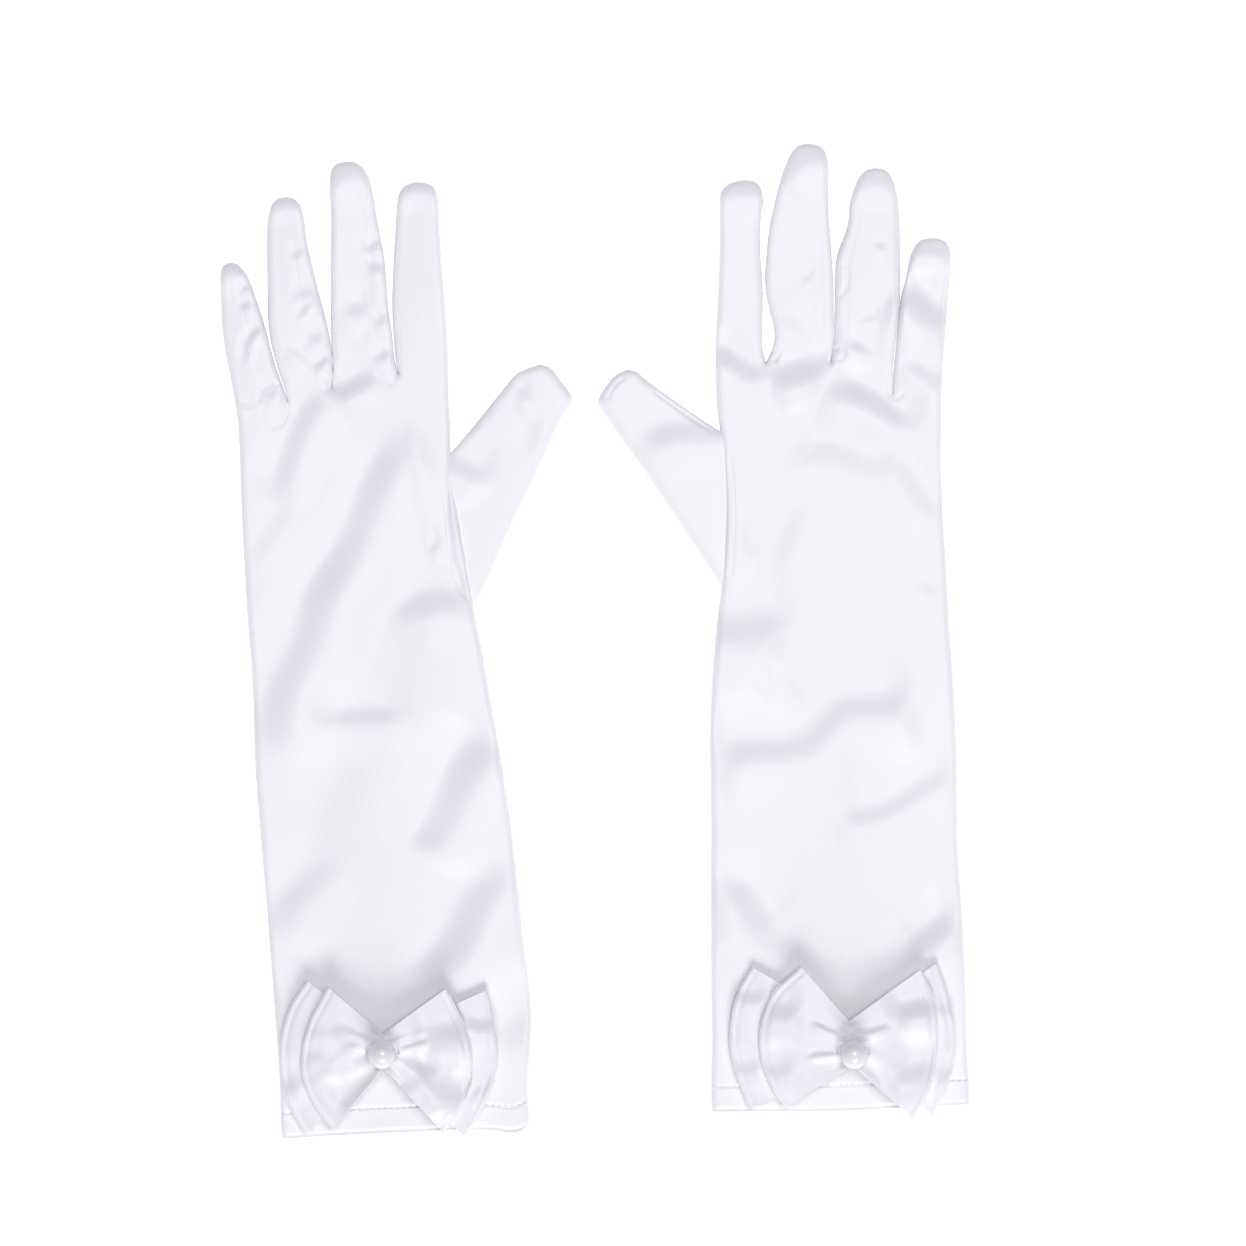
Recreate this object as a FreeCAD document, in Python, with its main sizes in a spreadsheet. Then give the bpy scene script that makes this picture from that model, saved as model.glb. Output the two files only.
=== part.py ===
import FreeCAD, Part
import math
import os

import Sketcher
from FreeCAD import Placement, Rotation, Vector

# A pair of children's satin opera gloves, lying palm down side by side.
# Own frame: +Z up, +Y from the cuffs to the fingertips, origin in the middle of the rest plane.
# Each glove is drawn in its own frame: origin at the middle of the hem, +Y up the arm,
# +X towards the thumb.  The right glove is the mirror of a left one, so its X is turned over.

os.makedirs("parts", exist_ok=True)

doc = FreeCAD.newDocument("OperaGloves")
sheet = doc.addObject("Spreadsheet::Sheet", "Sizes")

# Sizes that both gloves share, in mm and degrees.
SHARED = {
    "wall": 0.6,               # satin and the seam allowance behind it
    "arm_deep": 8.0,           # sleeve lying flat, top to bottom
    "hand_deep": 7.2,
    "finger_deep": 6.4,
    "thumb_deep": 5.8,
    "arm_inset": 3.2,          # side of the sleeve to the side of the space inside it
    "finger_inset": 2.3,
    "thumb_low_inset": 4.8,    # the thumb's lower side slants, so its space starts further in
    "thumb_high_inset": 3.0,
    "fold_gap": 0.3,           # clearance at a fold between two moving pieces
    "side_gap": 0.25,
    "root_relief": 1.4,        # finger roots narrow below the fold line
    "mid_share": 0.5,          # where along a finger its middle width is taken
    "strip_wide": 3.2,         # side strip set into a finger
    "strip_share": 0.82,       # how far up the finger the side strip runs
    "forearm_at": 110.0,       # heights above the hem where the sleeve width is given
    "elbow_at": 36.0,
    "hem_wide": 8.5,           # turned-up band inside the cuff
    "hem_thick": 0.5,
    "back_deep": 3.6,          # big bow, lying flat
    "front_deep": 3.8,         # small bow on top of it
    "waist_half": 5.5,
    "waist_run": 2.0,
    "loop_wall": 1.2,          # layers of satin above and below the space in a bow loop
    "loop_end": 2.0,
    "gather_wide": 2.0,
    "gather_thick": 0.4,
    "pearl_radius": 4.4,
    "hole_radius": 0.45,
    "thread_radius": 0.25,
}

# Sizes of each glove as it lies: [left glove, right glove].
# "little" and "thumb" name the two sides of the sleeve; a finger has the middle of its fold
# line (x, y), its turn, its length past the fold, half widths at the fold and half way up,
# and the radius of its tip.
LYING = {
    "place_x": [-57.85, 75.65],
    "place_y": [-152.77, -144.77],
    "tilt": [5.1, 0.9],
    "hem_little_x": [-38.0, -39.7],
    "hem_little_y": [3.1, 0.9],
    "hem_thumb_x": [38.2, 39.6],
    "hem_thumb_y": [-1.2, 0.3],
    "elbow_thumb_x": [41.6, 39.5],
    "forearm_thumb_x": [40.0, 38.5],
    "forearm_little_x": [-36.4, -37.6],
    "wrist_thumb_x": [36.4, 36.0],
    "wrist_little_x": [-34.8, -35.8],
    "wrist_y": [152.0, 152.0],
    "index_x": [26.0, 26.9],
    "index_y": [233.0, 231.2],
    "index_turn": [-3.2, 0.9],
    "index_long": [59.2, 55.7],
    "index_half": [7.6, 7.8],
    "index_mid": [7.6, 6.9],
    "index_tip": [6.0, 6.2],
    "middle_x": [7.9, 9.1],
    "middle_y": [233.5, 231.4],
    "middle_turn": [-1.3, 2.9],
    "middle_long": [66.6, 66.8],
    "middle_half": [10.0, 9.5],
    "middle_mid": [8.6, 9.5],
    "middle_tip": [6.4, 6.2],
    "ring_x": [-9.5, -10.3],
    "ring_y": [230.8, 228.0],
    "ring_turn": [1.9, 4.6],
    "ring_long": [60.6, 62.2],
    "ring_half": [6.8, 9.0],
    "ring_mid": [7.0, 9.0],
    "ring_tip": [5.4, 6.6],
    "little_x": [-24.6, -27.2],
    "little_y": [226.6, 222.2],
    "little_turn": [6.9, 6.8],
    "little_long": [46.9, 46.2],
    "little_half": [7.8, 7.3],
    "little_mid": [6.7, 7.2],
    "little_tip": [3.9, 5.9],
    "thumb_x": [38.2, 38.7],
    "thumb_y": [184.7, 186.1],
    "thumb_turn": [-88.3, -89.1],
    "thumb_half": [23.7, 23.2],
    "thumb_tip_x": [-39.0, -35.0],
    "thumb_tip_y": [24.8, 24.7],
    "thumb_tip": [8.8, 8.1],
    "bow_x": [-4.4, -3.7],
    "bow_y": [27.6, 19.0],
    "bow_turn": [-4.3, -0.9],
    "back_span": [33.3, 34.4],
    "back_corner": [26.0, 27.8],
    "back_top": [20.4, 26.0],
    "back_bottom": [26.2, 19.1],
    "front_span": [26.2, 27.1],
    "front_corner": [17.5, 20.0],
    "front_top": [19.2, 25.3],
    "front_bottom": [24.4, 18.8],
}

SIDES = {"left": 1, "right": -1}
FINGERS = ["little", "ring", "middle", "index"]
SMALL = 0.01


def fill_sheet():
    """Write every driving size into the spreadsheet under its own name."""
    rows = dict(SHARED)
    for column, glove in enumerate(SIDES):
        for name, pair in LYING.items():
            rows[f"{glove}_{name}"] = pair[column]
    for row, (name, size) in enumerate(rows.items(), start=1):
        sheet.set(f"A{row}", name)
        sheet.set(f"B{row}", str(size))
        sheet.setAlias(f"B{row}", name)
    doc.recompute()


def value(rule):
    """Number that an expression on the sheet gives."""
    found = sheet.evalExpression(str(rule))
    return float(getattr(found, "Value", found))


def size(name):
    """Expression that reads one cell of the sheet."""
    return f"Sizes.{name}"


def origin_plane(body, role):
    for feature in body.Origin.OriginFeatures:
        if feature.Role == role:
            return feature
    raise RuntimeError(f"{body.Name} has no {role}")


def new_sketch(body, name, lift="0", role="XY_Plane"):
    """Empty sketch on one of the body's own planes, moved off it by an expression."""
    sketch = body.newObject("Sketcher::SketchObject", name)
    sketch.AttachmentSupport = (origin_plane(body, role), [""])
    sketch.MapMode = "FlatFace"
    sketch.setExpression("AttachmentOffset.Base.z", lift)
    return sketch


def bind(sketch, kind, where, rule):
    """Add a constraint whose value is an expression."""
    index = sketch.addConstraint(Sketcher.Constraint(kind, *where, value(rule)))
    sketch.setExpression(f"Constraints[{index}]", rule)


def bind_point(sketch, edge, end, corner):
    bind(sketch, "DistanceX", (-1, 1, edge, end), corner[0])
    bind(sketch, "DistanceY", (-1, 1, edge, end), corner[1])


def spot(corner):
    return Vector(value(corner[0]), value(corner[1]), 0)


def draw_polygon(sketch, corners):
    """Closed outline of straight lines, each corner bound to its two expressions."""
    first = sketch.GeometryCount
    count = len(corners)
    for i in range(count):
        sketch.addGeometry(Part.LineSegment(spot(corners[i]), spot(corners[(i + 1) % count])))
    for i in range(count):
        follow = first + (i + 1) % count
        sketch.addConstraint(Sketcher.Constraint("Coincident", first + i, 2, follow, 1))
        bind_point(sketch, first + i, 1, corners[i])


def tangent_spot(start, centre, radius, side):
    """Point where a line from start touches a circle, on its right (1) or left (-1)."""
    run = centre - start
    reach = math.sqrt(run.Length ** 2 - radius ** 2)
    aim = math.atan2(run.y, run.x) - side * math.asin(radius / run.Length)
    return start + Vector(reach * math.cos(aim), reach * math.sin(aim), 0)


def draw_sheath(sketch, right, left, centre, radius):
    """Outline of a finger: two sides from the root up, joined by a round tip."""
    middle = spot(centre)
    reach = value(radius)
    right_spots = [spot(corner) for corner in right]
    left_spots = [spot(corner) for corner in left]
    touch_right = tangent_spot(right_spots[-1], middle, reach, 1)
    touch_left = tangent_spot(left_spots[-1], middle, reach, -1)
    angles = [math.atan2(p.y - middle.y, p.x - middle.x) for p in (touch_right, touch_left)]
    if angles[1] < angles[0]:
        angles[1] += 2 * math.pi
    path = right_spots + [touch_right]
    for start, end in zip(path, path[1:]):
        sketch.addGeometry(Part.LineSegment(start, end))
    tip = sketch.addGeometry(Part.ArcOfCircle(Part.Circle(middle, Vector(0, 0, 1), reach), *angles))
    path = [touch_left] + left_spots[::-1] + right_spots[:1]
    for start, end in zip(path, path[1:]):
        sketch.addGeometry(Part.LineSegment(start, end))
    count = sketch.GeometryCount
    for i in range(count):
        kind = "Tangent" if tip in (i, i + 1) else "Coincident"
        sketch.addConstraint(Sketcher.Constraint(kind, i, 2, (i + 1) % count, 1))
    for i, corner in enumerate(right):
        bind_point(sketch, i, 1, corner)
    for i, corner in enumerate(left[::-1]):
        bind_point(sketch, tip + 1 + i, 2, corner)
    bind_point(sketch, tip, 3, centre)
    bind(sketch, "Radius", (tip,), radius)


def check_state(feature):
    doc.recompute()
    faults = [word for word in feature.State if word in ("Invalid", "Error")]
    if faults or feature.Shape.isNull() or not feature.Shape.isValid():
        raise RuntimeError(f"{feature.Label}: {feature.State}")


def pad(body, sketch, name, rule, symmetric=False):
    feature = body.newObject("PartDesign::Pad", name)
    feature.Profile = sketch
    feature.setExpression("Length", rule)
    if symmetric:
        feature.SideType = "Symmetric"
    check_state(feature)
    return feature


def pocket(body, sketch, name, rule, symmetric=False):
    """Cut upwards from the sketch, and make sure that something was cut."""
    before = body.Tip.Shape.Volume
    feature = body.newObject("PartDesign::Pocket", name)
    feature.Profile = sketch
    feature.setExpression("Length", rule)
    if symmetric:
        feature.SideType = "Symmetric"
    else:
        feature.Reversed = True
    check_state(feature)
    if feature.Shape.Volume > before - 1:
        raise RuntimeError(f"{name} cut nothing")
    return feature


def round_rim(body, base, name, rule, wanted):
    """Round the wanted level edges of a padded outline."""
    edges = []
    for number, edge in enumerate(base.Shape.Edges, start=1):
        start, end = edge.Vertexes[0].Point, edge.Vertexes[-1].Point
        level = abs(start.z - end.z) < SMALL
        if level and wanted((start + end) * 0.5, end - start):
            edges.append(f"Edge{number}")
    feature = body.newObject("PartDesign::Fillet", name)
    feature.Base = (base, edges)
    feature.setExpression("Radius", rule)
    check_state(feature)
    return feature


def new_body(label):
    body = doc.addObject("PartDesign::Body", label)
    body.Label = label
    return body


class Glove:
    """One glove: names its sizes, places its pieces and mirrors what must be mirrored."""

    def __init__(self, name):
        self.name = name
        self.side = SIDES[name]
        spot_on_table = Vector(value(self.at("place_x")), value(self.at("place_y")), 0)
        turn = Rotation(Vector(0, 0, 1), value(self.at("tilt")))
        self.frame = Placement(spot_on_table, turn)

    def at(self, name):
        return size(f"{self.name}_{name}")

    def across(self, rule):
        """X of a point in the glove's frame, turned over on the right glove."""
        return f"{self.side} * ({rule})"

    def mirrored(self, corners):
        return [(self.across(x), y) for x, y in corners]

    def place(self, x, y, turn, lift="0"):
        """Placement of a piece whose frame stands at (x, y) in the glove."""
        where = Vector(self.side * value(x), value(y), value(lift))
        return self.frame.multiply(Placement(where, Rotation(Vector(0, 0, 1), self.side * value(turn))))

    def fold_end(self, finger, side):
        """End of a finger's fold line: side 1 towards the thumb, -1 towards the little finger."""
        half, turn = self.at(f"{finger}_half"), self.at(f"{finger}_turn")
        x = f"{self.at(finger + '_x')} + {side} * {half} * cos({turn} * 1 deg)"
        y = f"{self.at(finger + '_y')} + {side} * {half} * sin({turn} * 1 deg)"
        return x, y


def sleeve_corners(glove, inset, hem_lift, top):
    """Sleeve outline, drawn in from its sides, from above the hem up to a given height."""
    return glove.mirrored([
        (f"{glove.at('hem_little_x')} + {inset}", f"{glove.at('hem_little_y')} + {hem_lift}"),
        (f"{glove.at('hem_thumb_x')} - {inset}", f"{glove.at('hem_thumb_y')} + {hem_lift}"),
        (f"{glove.at('elbow_thumb_x')} - {inset}", size("elbow_at")),
        (f"{glove.at('forearm_thumb_x')} - {inset}", size("forearm_at")),
        (f"{glove.at('wrist_thumb_x')} - {inset}", top),
        (f"{glove.at('wrist_little_x')} + {inset}", top),
        (f"{glove.at('forearm_little_x')} + {inset}", size("forearm_at")),
    ])


def runs_up(middle, run):
    return abs(run.y) > abs(run.x)


def make_sleeve(glove):
    """Tube of satin from the hem to the wrist fold, open at both ends."""
    body = new_body(f"{glove.name}_sleeve")
    top = f"{glove.at('wrist_y')} - {size('hand_deep')} / 2 - {size('fold_gap')}"
    outline = new_sketch(body, f"{glove.name}_sleeve_outline")
    draw_polygon(outline, sleeve_corners(glove, "0", "0", top))
    flat = pad(body, outline, f"{glove.name}_sleeve_pad", size("arm_deep"))
    round_rim(body, flat, f"{glove.name}_sleeve_sides", f"{size('arm_deep')} * 0.49", runs_up)
    space = new_sketch(body, f"{glove.name}_sleeve_space", size("wall"))
    past = f"{top} + 1"
    draw_polygon(space, sleeve_corners(glove, size("arm_inset"), "-1", past))
    pocket(body, space, f"{glove.name}_sleeve_hollow", f"{size('arm_deep')} - 2 * {size('wall')}")
    body.Placement = glove.frame
    return body


def hem_corners(glove, inset, low, high):
    """Band along the hem, following its slant."""
    little, thumb = glove.at("hem_little_x"), glove.at("hem_thumb_x")
    little_y, thumb_y = glove.at("hem_little_y"), glove.at("hem_thumb_y")
    return glove.mirrored([
        (f"{little} + {inset}", f"{little_y} + {low}"),
        (f"{thumb} - {inset}", f"{thumb_y} + {low}"),
        (f"{thumb} - {inset}", f"{thumb_y} + {high}"),
        (f"{little} + {inset}", f"{little_y} + {high}"),
    ])


def make_cuff_hem(glove):
    """Band turned up inside the cuff, lining the mouth of the sleeve."""
    body = new_body(f"{glove.name}_cuff_hem")
    inset = size("arm_inset")
    outline = new_sketch(body, f"{glove.name}_hem_outline", size("wall"))
    draw_polygon(outline, hem_corners(glove, f"({inset} + 0.3)", "0", size("hem_wide")))
    pad(body, outline, f"{glove.name}_hem_pad", f"{size('arm_deep')} - 2 * {size('wall')}")
    space = new_sketch(body, f"{glove.name}_hem_space", f"{size('wall')} + {size('hem_thick')}")
    wide = f"{size('hem_wide')} + 1"
    draw_polygon(space, hem_corners(glove, f"({inset} + 0.3 + {size('hem_thick')})", "-1", wide))
    hollow = f"{size('arm_deep')} - 2 * {size('wall')} - 2 * {size('hem_thick')}"
    pocket(body, space, f"{glove.name}_hem_hollow", hollow)
    body.Placement = glove.frame
    return body


def finger_end_corners(glove, inset, setback):
    """Edge of the hand below the four finger folds, from the index to the little finger."""
    x, y = glove.fold_end("index", 1)
    corners = [(f"{x} - {inset}", f"{y} - {setback}")]
    for finger, follow in zip(FINGERS[:0:-1], FINGERS[-2::-1]):
        near_x, near_y = glove.fold_end(finger, -1)
        far_x, far_y = glove.fold_end(follow, 1)
        crotch = f"({near_x} + {far_x}) / 2"
        corners.append((crotch, f"{near_y} - {setback}"))
        corners.append((crotch, f"{far_y} - {setback}"))
    x, y = glove.fold_end("little", -1)
    corners.append((f"{x} + {inset}", f"{y} - {setback}"))
    return corners


def make_hand(glove):
    """Palm and back of the hand, open to the wrist, the fingers and the thumb."""
    body = new_body(f"{glove.name}_hand")
    root = f"{glove.at('wrist_y')} - {size('hand_deep')} / 2"
    setback = f"({size('finger_deep')} / 2 + {size('fold_gap')} + 0.05)"
    corners = [(glove.at("wrist_little_x"), root), (glove.at("wrist_thumb_x"), root)]
    corners += finger_end_corners(glove, "0", setback)
    outline = new_sketch(body, f"{glove.name}_hand_outline")
    draw_polygon(outline, glove.mirrored(corners))
    flat = pad(body, outline, f"{glove.name}_hand_pad", size("hand_deep"))
    end_y = min(value(y) for _, y in corners[2:])

    def below_fingers(middle, run):
        return middle.y < end_y - SMALL

    round_rim(body, flat, f"{glove.name}_hand_sides", f"{size('hand_deep')} * 0.49", below_fingers)
    inset = size("arm_inset")
    inner = [
        (f"{glove.at('wrist_little_x')} + {inset}", f"{root} - 1"),
        (f"{glove.at('wrist_thumb_x')} - {inset}", f"{root} - 1"),
    ]
    inner += finger_end_corners(glove, inset, "-1")
    space = new_sketch(body, f"{glove.name}_hand_space", size("wall"))
    draw_polygon(space, glove.mirrored(inner))
    pocket(body, space, f"{glove.name}_hand_hollow", f"{size('hand_deep')} - 2 * {size('wall')}")
    hole = new_sketch(body, f"{glove.name}_thumb_hole", size("wall"))
    reach = f"({glove.at('thumb_half')} - {inset})"
    low, high = f"{glove.at('thumb_y')} - {reach}", f"{glove.at('thumb_y')} + {reach}"
    near, far = f"{glove.at('thumb_x')} - 3 * {inset}", glove.at("thumb_x")
    draw_polygon(hole, glove.mirrored([(near, low), (far, low), (far, high), (near, high)]))
    pocket(body, hole, f"{glove.name}_thumb_way", f"{size('thumb_deep')} - 2 * {size('wall')}")
    body.Placement = glove.frame
    return body


def all_edges(middle, run):
    return True


def finger_form(glove, finger):
    """Whole finger in its own frame: fold line on X, tip on Y, hollow from the root."""
    body = new_body(f"{glove.name}_{finger}_form")
    deep, inset = size("finger_deep"), size("finger_inset")
    half, mid, tip, long = (glove.at(f"{finger}_{word}") for word in ("half", "mid", "tip", "long"))
    mid_y = f"{long} * {size('mid_share')}"

    def side_line(sign, root_y, relief, inner):
        root = (f"{sign} * ({half} - {relief} - {inner})", f"-{deep} / 2 {root_y}")
        fold = (f"{sign} * ({half} - {inner})", "0")
        return [root, fold, (f"{sign} * ({mid} - {inner})", mid_y)]

    outline = new_sketch(body, f"{glove.name}_{finger}_outline")
    centre = ("0", f"{long} - {tip}")
    relief = size("root_relief")
    draw_sheath(outline, side_line(1, "", relief, "0"), side_line(-1, "", relief, "0"), centre, tip)
    flat = pad(body, outline, f"{glove.name}_{finger}_pad", deep)
    round_rim(body, flat, f"{glove.name}_{finger}_rim", f"{deep} * 0.49", all_edges)
    space = new_sketch(body, f"{glove.name}_{finger}_space", size("wall"))
    inner_tip = f"{tip} - {inset}"
    sides = [side_line(sign, "- 1", "0.5", inset) for sign in (1, -1)]
    draw_sheath(space, sides[0], sides[1], centre, inner_tip)
    pocket(body, space, f"{glove.name}_{finger}_hollow", f"{deep} - 2 * {size('wall')}")
    return body


def strip_block(glove, finger, side):
    """Block around the side strip of a finger, leaning with the finger's taper."""
    block = doc.addObject("Part::Box", f"{glove.name}_{finger}_block_{'thumb' if side > 0 else 'little'}")
    half, tip, long = (glove.at(f"{finger}_{word}") for word in ("half", "tip", "long"))
    lean = f"atan(({half} - {tip}) / ({long} - {tip}))"
    low = f"({size('finger_deep')} / 2 + 1)"
    high = f"({long} * {size('strip_share')})"
    edge = f"({half} - {size('strip_wide')})"
    block.setExpression("Length", f"{size('finger_deep')} * 2")
    block.setExpression("Width", f"{low} + {high}")
    block.setExpression("Height", f"{size('finger_deep')} * 2")
    block.Placement = Placement(Vector(0, 0, 0), Rotation(Vector(0, 0, 1), 1))
    block.setExpression("Placement.Base.z", f"-{size('finger_deep')} / 2")
    if side > 0:
        block.setExpression("Placement.Base.x", f"{edge} + {low} * tan({lean})")
        block.setExpression("Placement.Base.y", f"-{low}")
        block.setExpression("Placement.Rotation.Angle", lean)
    else:
        block.setExpression("Placement.Base.x", f"-{edge} + {high} * tan({lean})")
        block.setExpression("Placement.Base.y", high)
        block.setExpression("Placement.Rotation.Angle", f"180 deg - {lean}")
    doc.recompute()
    return block


def combine(kind, name, base, tool):
    """Boolean of two objects of the document."""
    feature = doc.addObject(kind, name)
    feature.Label = name
    feature.Base = base
    feature.Tool = tool
    check_state(feature)
    return feature


# Side strips: which sides of a finger have one, and what the strip is called.
STRIPS = {
    "index": {-1: "index_strip"},
    "middle": {1: "middle_strip_index_side", -1: "middle_strip_ring_side"},
    "ring": {1: "ring_strip_middle_side", -1: "ring_strip_little_side"},
    "little": {1: "little_strip"},
}


def make_finger(glove, finger):
    """Finger of the glove with its side strips as pieces of their own."""
    whole = finger_form(glove, finger)
    where = glove.place(*(glove.at(f"{finger}_{word}") for word in ("x", "y", "turn")))
    rest = whole
    pieces = []
    for side, label in STRIPS[finger].items():
        block = strip_block(glove, finger, side * glove.side)
        strip = combine("Part::Common", f"{glove.name}_{label}", whole, block)
        strip.Placement = where
        pieces.append(strip)
        last = side == list(STRIPS[finger])[-1]
        name = f"{glove.name}_{finger}" if last else f"{glove.name}_{finger}_first_cut"
        rest = combine("Part::Cut", name, rest, block)
    rest.Placement = where
    return [rest] + pieces


def make_thumb(glove):
    """Thumb sewn along the index side of the hand; its tip lies towards the fingers."""
    body = new_body(f"{glove.name}_thumb")
    deep, half = size("thumb_deep"), glove.at("thumb_half")
    centre = (glove.across(glove.at("thumb_tip_x")), glove.at("thumb_tip_y"))
    outline = new_sketch(body, f"{glove.name}_thumb_outline")
    sides = {sign: [(f"{sign} * {half}", f"-{deep} / 2")] for sign in (1, -1)}
    draw_sheath(outline, sides[1], sides[-1], centre, glove.at("thumb_tip"))
    flat = pad(body, outline, f"{glove.name}_thumb_pad", deep)
    round_rim(body, flat, f"{glove.name}_thumb_rim", f"{deep} * 0.49", all_edges)
    insets = {glove.side: size("thumb_low_inset"), -glove.side: size("thumb_high_inset")}
    for sign in (1, -1):
        sides[sign] = [(f"{sign} * ({half} - {insets[sign]})", f"-{deep} / 2 - 1")]
    space = new_sketch(body, f"{glove.name}_thumb_space", size("wall"))
    inner_tip = f"{glove.at('thumb_tip')} - {size('finger_inset')}"
    draw_sheath(space, sides[1], sides[-1], centre, inner_tip)
    pocket(body, space, f"{glove.name}_thumb_hollow", f"{deep} - 2 * {size('wall')}")
    body.Placement = glove.place(*(glove.at(f"thumb_{word}") for word in ("x", "y", "turn")))
    return body


def bow_corners(glove, layer):
    """Bow outline: two fans of folded satin joined at a narrow waist."""
    span, corner, top, bottom = (glove.at(f"{layer}_{word}") for word in ("span", "corner", "top", "bottom"))
    run, waist = size("waist_run"), size("waist_half")
    right = [(run, f"-{waist}"), (corner, f"-{bottom}"), (span, "0"), (corner, top), (run, waist)]
    left = [(f"-{x}", y) for x, y in right[::-1]]
    return right + left


def make_bow(glove, layer, lift):
    """One bow of the pair, with the space inside each of its two loops."""
    body = new_body(f"{glove.name}_bow_{layer}")
    deep = size(f"{layer}_deep")
    outline = new_sketch(body, f"{glove.name}_{layer}_outline")
    draw_polygon(outline, bow_corners(glove, layer))
    flat = pad(body, outline, f"{glove.name}_{layer}_pad", deep)
    corner = value(glove.at(f"{layer}_corner"))

    def outer_fold(middle, run):
        return abs(middle.x) > corner + SMALL

    round_rim(body, flat, f"{glove.name}_{layer}_folds", f"{deep} * 0.45", outer_fold)
    space = new_sketch(body, f"{glove.name}_{layer}_space", "0", "XZ_Plane")
    near, far = f"{size('waist_run')} * 3", f"({glove.at(layer + '_corner')} - {size('loop_end')})"
    low, high = size("loop_wall"), f"{deep} - {size('loop_wall')}"
    for sign in (1, -1):
        ends = [f"{sign} * {near}", f"{sign} * {far}"]
        draw_polygon(space, [(ends[0], low), (ends[1], low), (ends[1], high), (ends[0], high)])
    pocket(body, space, f"{glove.name}_{layer}_loops", f"4 * {glove.at(layer + '_bottom')}", symmetric=True)
    body.Placement = bow_place(glove, lift)
    return body


def bow_place(glove, lift):
    where = [glove.at(f"bow_{word}") for word in ("x", "y", "turn")]
    return glove.place(*where, f"{size('arm_deep')} + {lift}")


def make_gather(glove):
    """Thread wound round the waist of both bows."""
    body = new_body(f"{glove.name}_bow_gather")
    thick, waist = size("gather_thick"), size("waist_half")
    height = f"({size('back_deep')} + {size('front_deep')})"
    ring = new_sketch(body, f"{glove.name}_gather_ring", "0", "YZ_Plane")
    for grow in ("0", thick):
        wide, low, high = f"({waist} + {grow})", f"{thick} - {grow}", f"{thick} + {height} + {grow}"
        draw_polygon(ring, [(f"-{wide}", low), (wide, low), (wide, high), (f"-{wide}", high)])
    pad(body, ring, f"{glove.name}_gather_pad", size("gather_wide"), symmetric=True)
    body.Placement = bow_place(glove, "0")
    return body


def make_pearl(glove):
    """Drilled pearl on the waist of the bow, and the thread through it."""
    radius, hole, thread = size("pearl_radius"), size("hole_radius"), size("thread_radius")
    ball = doc.addObject("Part::Sphere", f"{glove.name}_pearl_ball")
    ball.setExpression("Radius", radius)
    ball.Placement = Placement(Vector(0, 0, 0), Rotation(Vector(0, 1, 0), 90))  # poles in the hole
    drill = doc.addObject("Part::Cylinder", f"{glove.name}_pearl_drill")
    drill.setExpression("Radius", hole)
    drill.setExpression("Height", f"4 * {radius}")
    drill.Placement = Placement(Vector(0, 0, 0), Rotation(Vector(0, 1, 0), 90))
    drill.setExpression("Placement.Base.x", f"-2 * {radius}")
    pearl = combine("Part::Cut", f"{glove.name}_pearl", ball, drill)
    stack = f"{size('back_deep')} + {size('front_deep')} + 2 * {size('gather_thick')}"
    pearl.Placement = bow_place(glove, f"{stack} + {radius}")

    reach = f"({radius} + 2 * {thread})"
    drop = f"({radius} + {size('gather_thick')})"
    across = doc.addObject("Part::Cylinder", f"{glove.name}_thread_across")
    across.setExpression("Height", f"2 * {reach}")
    across.Placement = Placement(Vector(0, 0, 0), Rotation(Vector(0, 1, 0), 90))
    across.setExpression("Placement.Base.x", f"-{reach}")
    pieces = [across]
    for sign, word in ((1, "east"), (-1, "west")):
        leg = doc.addObject("Part::Cylinder", f"{glove.name}_thread_leg_{word}")
        leg.setExpression("Height", drop)
        leg.setExpression("Placement.Base.z", f"-{drop}")
        bend = doc.addObject("Part::Sphere", f"{glove.name}_thread_bend_{word}")
        for piece in (leg, bend):
            piece.setExpression("Placement.Base.x", f"{sign} * {reach}")
        pieces += [leg, bend]
    for piece in pieces:
        piece.setExpression("Radius", thread)
    loop = doc.addObject("Part::MultiFuse", f"{glove.name}_pearl_thread")
    loop.Label = f"{glove.name}_pearl_thread"
    loop.Shapes = pieces
    check_state(loop)
    loop.Placement = pearl.Placement
    return [pearl, loop]


def make_glove(name):
    glove = Glove(name)
    pieces = [make_sleeve(glove), make_cuff_hem(glove), make_hand(glove), make_thumb(glove)]
    for finger in FINGERS:
        pieces += make_finger(glove, finger)
    gather = size("gather_thick")
    pieces.append(make_bow(glove, "back", gather))
    pieces.append(make_bow(glove, "front", f"{gather} + {size('back_deep')}"))
    pieces.append(make_gather(glove))
    pieces += make_pearl(glove)
    return pieces


def write_parts(pieces):
    """Check every piece once more, then write it as a STEP file under its label."""
    doc.recompute()
    for item in doc.Objects:
        faults = [word for word in item.State if word in ("Invalid", "Error")]
        if faults:
            raise RuntimeError(f"{item.Label}: {item.State}")
    for piece in pieces:
        shape = piece.Shape
        if shape.isNull() or not shape.isValid() or len(shape.Solids) != 1:
            raise RuntimeError(f"{piece.Label} is not one sound solid")
        shape.exportStep(os.path.join("parts", f"{piece.Label}.step"))
        print(f"{piece.Label}: {shape.Volume:.1f} mm3")


fill_sheet()
made = []
for glove_name in SIDES:
    made += make_glove(glove_name)
write_parts(made)
whole = Part.makeCompound([piece.Shape for piece in made]).BoundBox
print("box", [round(number, 2) for number in (whole.XMin, whole.XMax, whole.YMin, whole.YMax, whole.ZMin, whole.ZMax)])
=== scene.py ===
import logging
import math
from dataclasses import dataclass, field
from enum import Enum

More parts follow.
